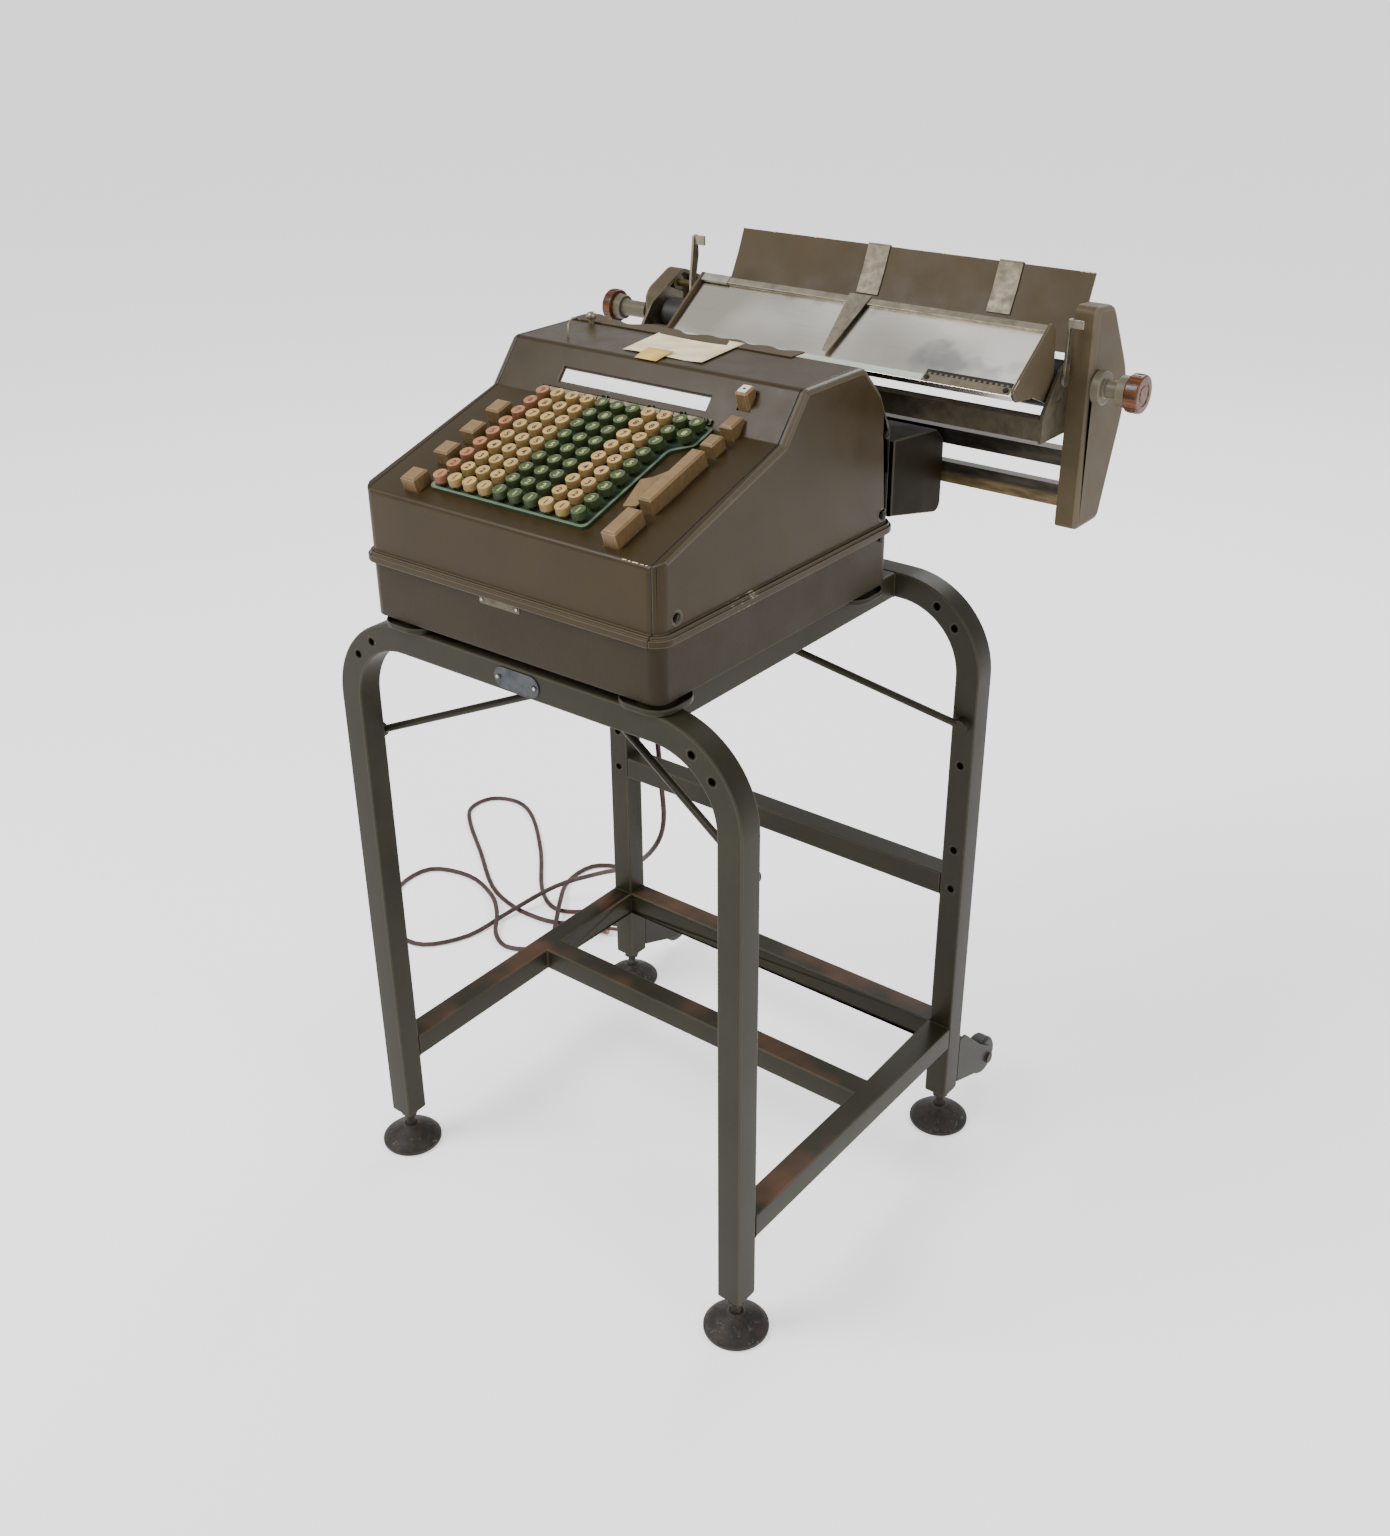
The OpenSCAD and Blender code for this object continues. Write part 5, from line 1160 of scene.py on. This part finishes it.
class MACHINE_OT_window(bpy.types.Operator):
    """Builds the window, its bar and its pointers, and finishes the dials and works behind them"""

    bl_idname = "machine.window"
    bl_label = "Window and works"

    def execute(self, context):
        painted("window_glass", "white_celluloid")
        top = local_box("window_glass", STEEP)[1].z
        left = (WINDOW_X[0] - 0.1, WINDOW_X[0] + DIRT_AND_SHADE_LINE)
        right = (WINDOW_X[1] - DIRT_AND_SHADE_LINE, WINDOW_X[1] + 0.1)
        between = (WINDOW_Y[0] + DIRT_AND_SHADE_LINE, WINDOW_Y[1] - DIRT_AND_SHADE_LINE)
        height = (top - 0.1, top + 0.25)
        # Dirt and painted shade round the window: a dark strip just inside the opening's edge
        box_piece("window_gasket", [
            (WINDOW_X, (WINDOW_Y[0] - 0.1, between[0]), height),
            (WINDOW_X, (between[1], WINDOW_Y[1] + 0.1), height),
            (left, between, height), (right, between, height)
        ], STEEP, ROOT, "grime")
        dressed("comma_bar", "oiled_steel", 0.5 * MM)
        low, high = local_box("comma_bar", STEEP)
        groove = high.z - 1.5
        step = (high.x - low.x - 2 * STEPS_INSET) / STEPS
        starts = [low.x + STEPS_INSET + step * i for i in range(STEPS)]
        box_piece("comma_bar_steps", [
            ((x + STEP_GAP, x + step - STEP_GAP), (low.y + 1, high.y - 1), (groove - 0.1, groove + 0.1))
            for x in starts
        ], STEEP, ROOT, "strap_steel")
        middle = (low.y + high.y) / 2
        ends = [STEEP @ (Vector((x, middle, high.z + 0.1)) * MM) for x in (low.x + 5, high.x - 5)]
        fasteners("comma_bar_screws", screw_shape, 2.6, ends, STEEP.to_3x3() @ Vector((0, 0, 1)), ROOT,
                  "blackened_steel")
        dressed("comma_pointers", "blackened_steel", 0.2 * MM)
        painted("dial_wheels", "dial_enamel")
        painted("mechanism_frame", "blackened_steel")
        painted("drive_shaft", "bright_steel")
        painted("drive_motor", "blackened_steel")
        return {"FINISHED"}


# The knobs' radius, the ribs round each, and how deep the left and the right knob are along the shaft
KNOB_RADIUS = 18.5
KNOB_RIBS = 28
KNOB_DEPTHS = (12 * MM, 14 * MM)
# Rings turned into a knob's end, from the outside in: width and height over the ring before
KNOB_RINGS = ((5, 0), (0.8, -0.9), (2.4, 0), (0.8, 0.7))
PLATEN_AXIS = (STAND_MIDDLE_Y + 262 * MM, 914 * MM)
# Bare spots along the paper table's top edge: place across, and width
TABLE_BARE_SPOTS = ((-96, 3), (-70, 2), (-42, 4), (117, 3), (273, 3), (278, 5), (285, 3))


class MACHINE_OT_carriage(bpy.types.Operator):
    """Builds the rear housing and the carriage with its platen, knobs and paper table"""

    bl_idname = "machine.carriage"
    bl_label = "Carriage"

    def execute(self, context):
        # Painted shade: the housing's enamel is made almost black for the carriage's shade on it
        dressed("rear_housing", "housing_enamel", 1.6 * MM)
        # Painted light: the end plates' enamel is lighter than the case's for the light that falls on them
        for node, corner in (("left_end_plate", 0), ("right_end_plate", 1)):
            outer = outer_face_edge(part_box(node)[corner].x)
            dressed(node, "casting_enamel", sizes().casting_edge, 4, outer)
        dressed("carriage_beam", "oiled_steel", 0.8 * MM)
        painted("carriage_rails", "oiled_rail_steel")
        dressed("paper_table", "table_enamel", 0.5 * MM)
        painted("platen", "platen_rubber")
        low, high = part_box("platen_knobs")
        collars = (low.x + KNOB_DEPTHS[0] + 0.6 * MM, high.x - KNOB_DEPTHS[1] - 0.6 * MM)
        shape = welded("platen_knobs")
        round_edges(shape, 1.6 * MM, 3)
        # The knobs' flat ends are the only large faces there that look along the shaft
        ends = [f for f in shape.faces if abs(f.normal.x) > 0.99 and f.calc_area() > 300 * MM ** 2
                and min(abs(f.calc_center_median().x - x) for x in (low.x, high.x)) < 0.1 * MM]
        for thickness, depth in KNOB_RINGS:
            bmesh.ops.inset_individual(shape, faces=ends, thickness=thickness * MM, depth=depth * MM)
        for face in shape.faces:
            face.material_index = int(not collars[0] < face.calc_center_median().x < collars[1])
        fitted("platen_knobs_finished", shape, "platen", ["collar_enamel", "marbled_bakelite"],
               ["platen_knobs"])
        shape = bmesh.new()
        for middle, depth in (
            (low.x + KNOB_DEPTHS[0] / 2, KNOB_DEPTHS[0]), (high.x - KNOB_DEPTHS[1] / 2, KNOB_DEPTHS[1])
        ):
            axle = Matrix.Translation((middle, *PLATEN_AXIS)) @ Matrix.Rotation(math.pi / 2, 4, "Y")
            half = depth / MM / 2 - 2.4
            for turn in range(KNOB_RIBS):
                rib = axle @ Matrix.Rotation(2 * math.pi * turn / KNOB_RIBS, 4, "Z")
                add_box(shape, (KNOB_RADIUS - 0.6, KNOB_RADIUS + 0.35), (-0.55, 0.55), (-half, half), rib)
        fitted("knob_ribs", shape, "platen", ["marbled_bakelite"])
        painted("feed_roll", "platen_rubber")
        points = local_points("paper_table", HERE)
        top = max(p.z for p in points)
        rim = [p.y for p in points if p.z > top - 0.6]
        spots = [((x, x + width), (min(rim) - 0.3, max(rim) + 0.1), (top - 2.2, top + 0.1))
                 for x, width in TABLE_BARE_SPOTS]
        box_piece("table_bare_edge", spots, HERE, "carriage", "bare_primer")
        return {"FINISHED"}


# Strips on the chute's face, across and up from its lower edge: the pale lip, a black strip of painted shade
# where the recess lies, and the scale
LIP = ((-118, 194), (0.6, 8))
RECESS_SHADE = ((195, 288), (9, 15))
SCALE = ((195, 288), (0.6, 9))
SCALE_TEETH = 15
SCALE_PITCH = 6
SCALE_SCREWS = (199, 284)
# The bright shoe at the left end of the chute's bar, across, up and out of the chute's face
SHOE = ((-119, -84), (77, 87), (3.2, 5.6))


class MACHINE_OT_chute(bpy.types.Operator):
    """Builds the front paper chute, its frame, the pointer, the guides and the two finger levers"""

    bl_idname = "machine.chute"
    bl_label = "Paper chute"

    def execute(self, context):
        dressed("front_chute", "rolled_aluminium", 0.5 * MM)
        low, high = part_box("front_chute")

        def on_cheek(middle, normal):
            return int(not low.x < middle.x < high.x)

        # The cheeks take the end plates' enamel, painted lighter for the light on them
        part_finished("chute_frame", ["nickel_plate", "casting_enamel"], on_cheek, 0.5 * MM)
        dressed("form_pointer", "nickel_plate", 0.4 * MM)
        dressed("table_guides", "strap_steel", 0.4 * MM)
        dressed("left_finger_lever", "nickel_plate", 0.4 * MM)
        dressed("right_finger_lever", "nickel_plate", 0.4 * MM)
        top = local_box("front_chute", CHUTE)[1].z
        flat, raised = (top - 0.1, top + 0.3), (top - 0.1, top + 0.8)
        start = SCALE[0][0] + SCALE_PITCH / 2
        teeth = [((start + SCALE_PITCH * i, start + SCALE_PITCH * (i + 0.5)), (8.5, 11.5), raised)
                 for i in range(SCALE_TEETH)]
        # Painted shade: the recess is a flat black strip on the chute's face
        for name, boxes, finish in (
            ("chute_lip", [(*LIP, flat)], "lip_enamel"),
            ("chute_recess", [(*RECESS_SHADE, flat)], "blackened_steel"),
            ("chute_scale", [(*SCALE, raised)] + teeth, "strap_steel")
        ):
            box_piece(name, boxes, CHUTE, "chute", finish)
        screws = [CHUTE @ (Vector((x, sum(SCALE[1]) / 2, top + 0.8)) * MM) for x in SCALE_SCREWS]
        fasteners("chute_screws", screw_shape, 2.6, screws, CHUTE.to_3x3() @ Vector((0, 0, 1)), "chute",
                  "blackened_steel")
        box_piece("chute_bar_shoe", [SHOE], CHUTE, "chute", "bright_steel")
        return {"FINISHED"}


# The note's corners on the deck, from the front left one round, and its grid across and up
NOTE_CORNERS = [Vector(corner) for corner in ((-60, 10), (36, 12), (25, 96), (-76, 101))]
NOTE_GRID = (14, 12)
# The tape's run from the note towards the deck's front: place from front to back, and height
TAPE_RUN = ((26, 2.6), (18, 2.6), (10, 2.3), (2, 1.5), (-4, 0.9), (-7, 0.6))
# Its left and right edge on the note, and how far each leans for a millimetre of run
TAPE_SIDES = ((-41, 0.3), (-8, 0.1))
# The apron behind the note: left, right and front edge, and its rear edge, which waves by up to 10
APRON = (-190, 92, 80, 101)
APRON_POINTS = 94
# Bends of the wire hook, and the place and the profile of the small knob, from the deck up
HOOK = ((-139, 18, 0.5), (-139, 18, 6), (-140, 20, 12), (-141, 26, 16), (-142, 34, 16), (-143, 40, 12))
DECK_KNOB_PLACE = (-158, 76)
DECK_KNOB = ((0, -0.5), (3.2, -0.5), (3.2, 5), (5, 5.5), (5.6, 8), (5, 10.5), (3.4, 12), (0, 12.6))


def sheet_piece(name, rows, thickness_mm, finish):
    """A thin sheet through rows of places over the deck, given in millimetres."""
    shape = bmesh.new()
    lines = [[shape.verts.new(at(x, y, DECK_Z / MM + z)) for x, y, z in row] for row in rows]
    for low, high in zip(lines, lines[1:]):
        for i in range(len(low) - 1):
            shape.faces.new((low[i], low[i + 1], high[i + 1], high[i]))
    piece = fitted(name, shape, ROOT, [finish])
    thickness = piece.modifiers.new("Thickness", "SOLIDIFY")
    thickness.thickness = thickness_mm * MM


def note_place(u, v):
    """A place on the note, which waves a little and curls up at its front right corner."""
    a, b, c, d = NOTE_CORNERS
    wave = 0.5 + 1.1 * (0.5 + 0.5 * math.sin(5 * u + 3 * v))
    return (*a.lerp(b, u).lerp(d.lerp(c, u), v), wave + 1.6 * max(0, u - 0.8) * 4 * (1 - v))


class MACHINE_OT_deck(bpy.types.Operator):
    """Lays the note on the deck and fits the apron, the hook and the small knob"""

    bl_idname = "machine.deck"
    bl_label = "Deck fittings"

    def execute(self, context):
        deck = DECK_Z / MM
        across, up = NOTE_GRID
        note = [[note_place(i / across, j / up) for i in range(across + 1)] for j in range(up + 1)]
        sheet_piece("paper_note", note, 0.2, "rag_paper")
        start = TAPE_RUN[0][0]
        tape = [[(x + lean * (start - y), y, z) for y, z in TAPE_RUN] for x, lean in TAPE_SIDES]
        sheet_piece("note_tape", tape, 0.12, "dried_tape")
        left, right, front, rear = APRON
        edge = [
            (left + (right - left) * i / APRON_POINTS,
             rear + 6 * math.sin(i * 0.37) * math.sin(i * 0.13 + 1) + 4 * math.sin(i * 0.21))
            for i in range(APRON_POINTS + 1)
        ]
        shape = bmesh.new()
        add_prism(shape, [(left, front), (right, front)] + edge[::-1], deck + 0.2, deck + 1.4)
        fitted("deck_apron", shape, ROOT, ["table_enamel"])
        bends = [at(x, y, deck + z) for x, y, z in HOOK]
        hook = mesh_from("deck_hook_wire", wire("deck_hook_wire", bends, 1.1 * MM))
        shape = bmesh.new()
        shape.from_mesh(hook)
        bpy.data.meshes.remove(hook)
        fitted("deck_hook", shape, ROOT, ["nickel_plate"])
        shape = bmesh.new()
        add_lathe(shape, DECK_KNOB, Matrix.Translation(at(*DECK_KNOB_PLACE, deck)), 24)
        fitted("deck_knob", shape, ROOT, ["nickel_plate"])
        return {"FINISHED"}


OPERATORS = (
    MACHINE_OT_camera, MACHINE_OT_cord, MACHINE_OT_stage, MACHINE_OT_stand, MACHINE_OT_feet, MACHINE_OT_case,
    MACHINE_OT_keyboard, MACHINE_OT_window, MACHINE_OT_carriage, MACHINE_OT_chute, MACHINE_OT_deck
)


class MACHINE_PT_panel(bpy.types.Panel):
    """Buttons that build the machine, and its sizes and colours"""

    bl_label = "Bookkeeping machine"
    bl_idname = "MACHINE_PT_panel"
    bl_space_type = "VIEW_3D"
    bl_region_type = "UI"
    bl_category = "Machine"

    def draw(self, context):
        for group in (context.scene.machine_sizes, context.scene.machine_colours):
            box = self.layout.box()
            for name in group.__annotations__:
                box.prop(group, name)
        for operator in OPERATORS:
            self.layout.operator(operator.bl_idname)


CLASSES = (MachineSizes, MachineColours) + OPERATORS + (MACHINE_PT_panel,)


def register():
    for made in CLASSES:
        bpy.utils.register_class(made)
    bpy.types.Scene.machine_sizes = PointerProperty(type=MachineSizes)
    bpy.types.Scene.machine_colours = PointerProperty(type=MachineColours)


def unregister():
    del bpy.types.Scene.machine_colours
    del bpy.types.Scene.machine_sizes
    for made in reversed(CLASSES):
        bpy.utils.unregister_class(made)


def main():
    register()
    for operator in OPERATORS:
        group, name = operator.bl_idname.split(".")
        getattr(getattr(bpy.ops, group), name)()
    bpy.context.view_layer.update()


if __name__ == "__main__":
    main()
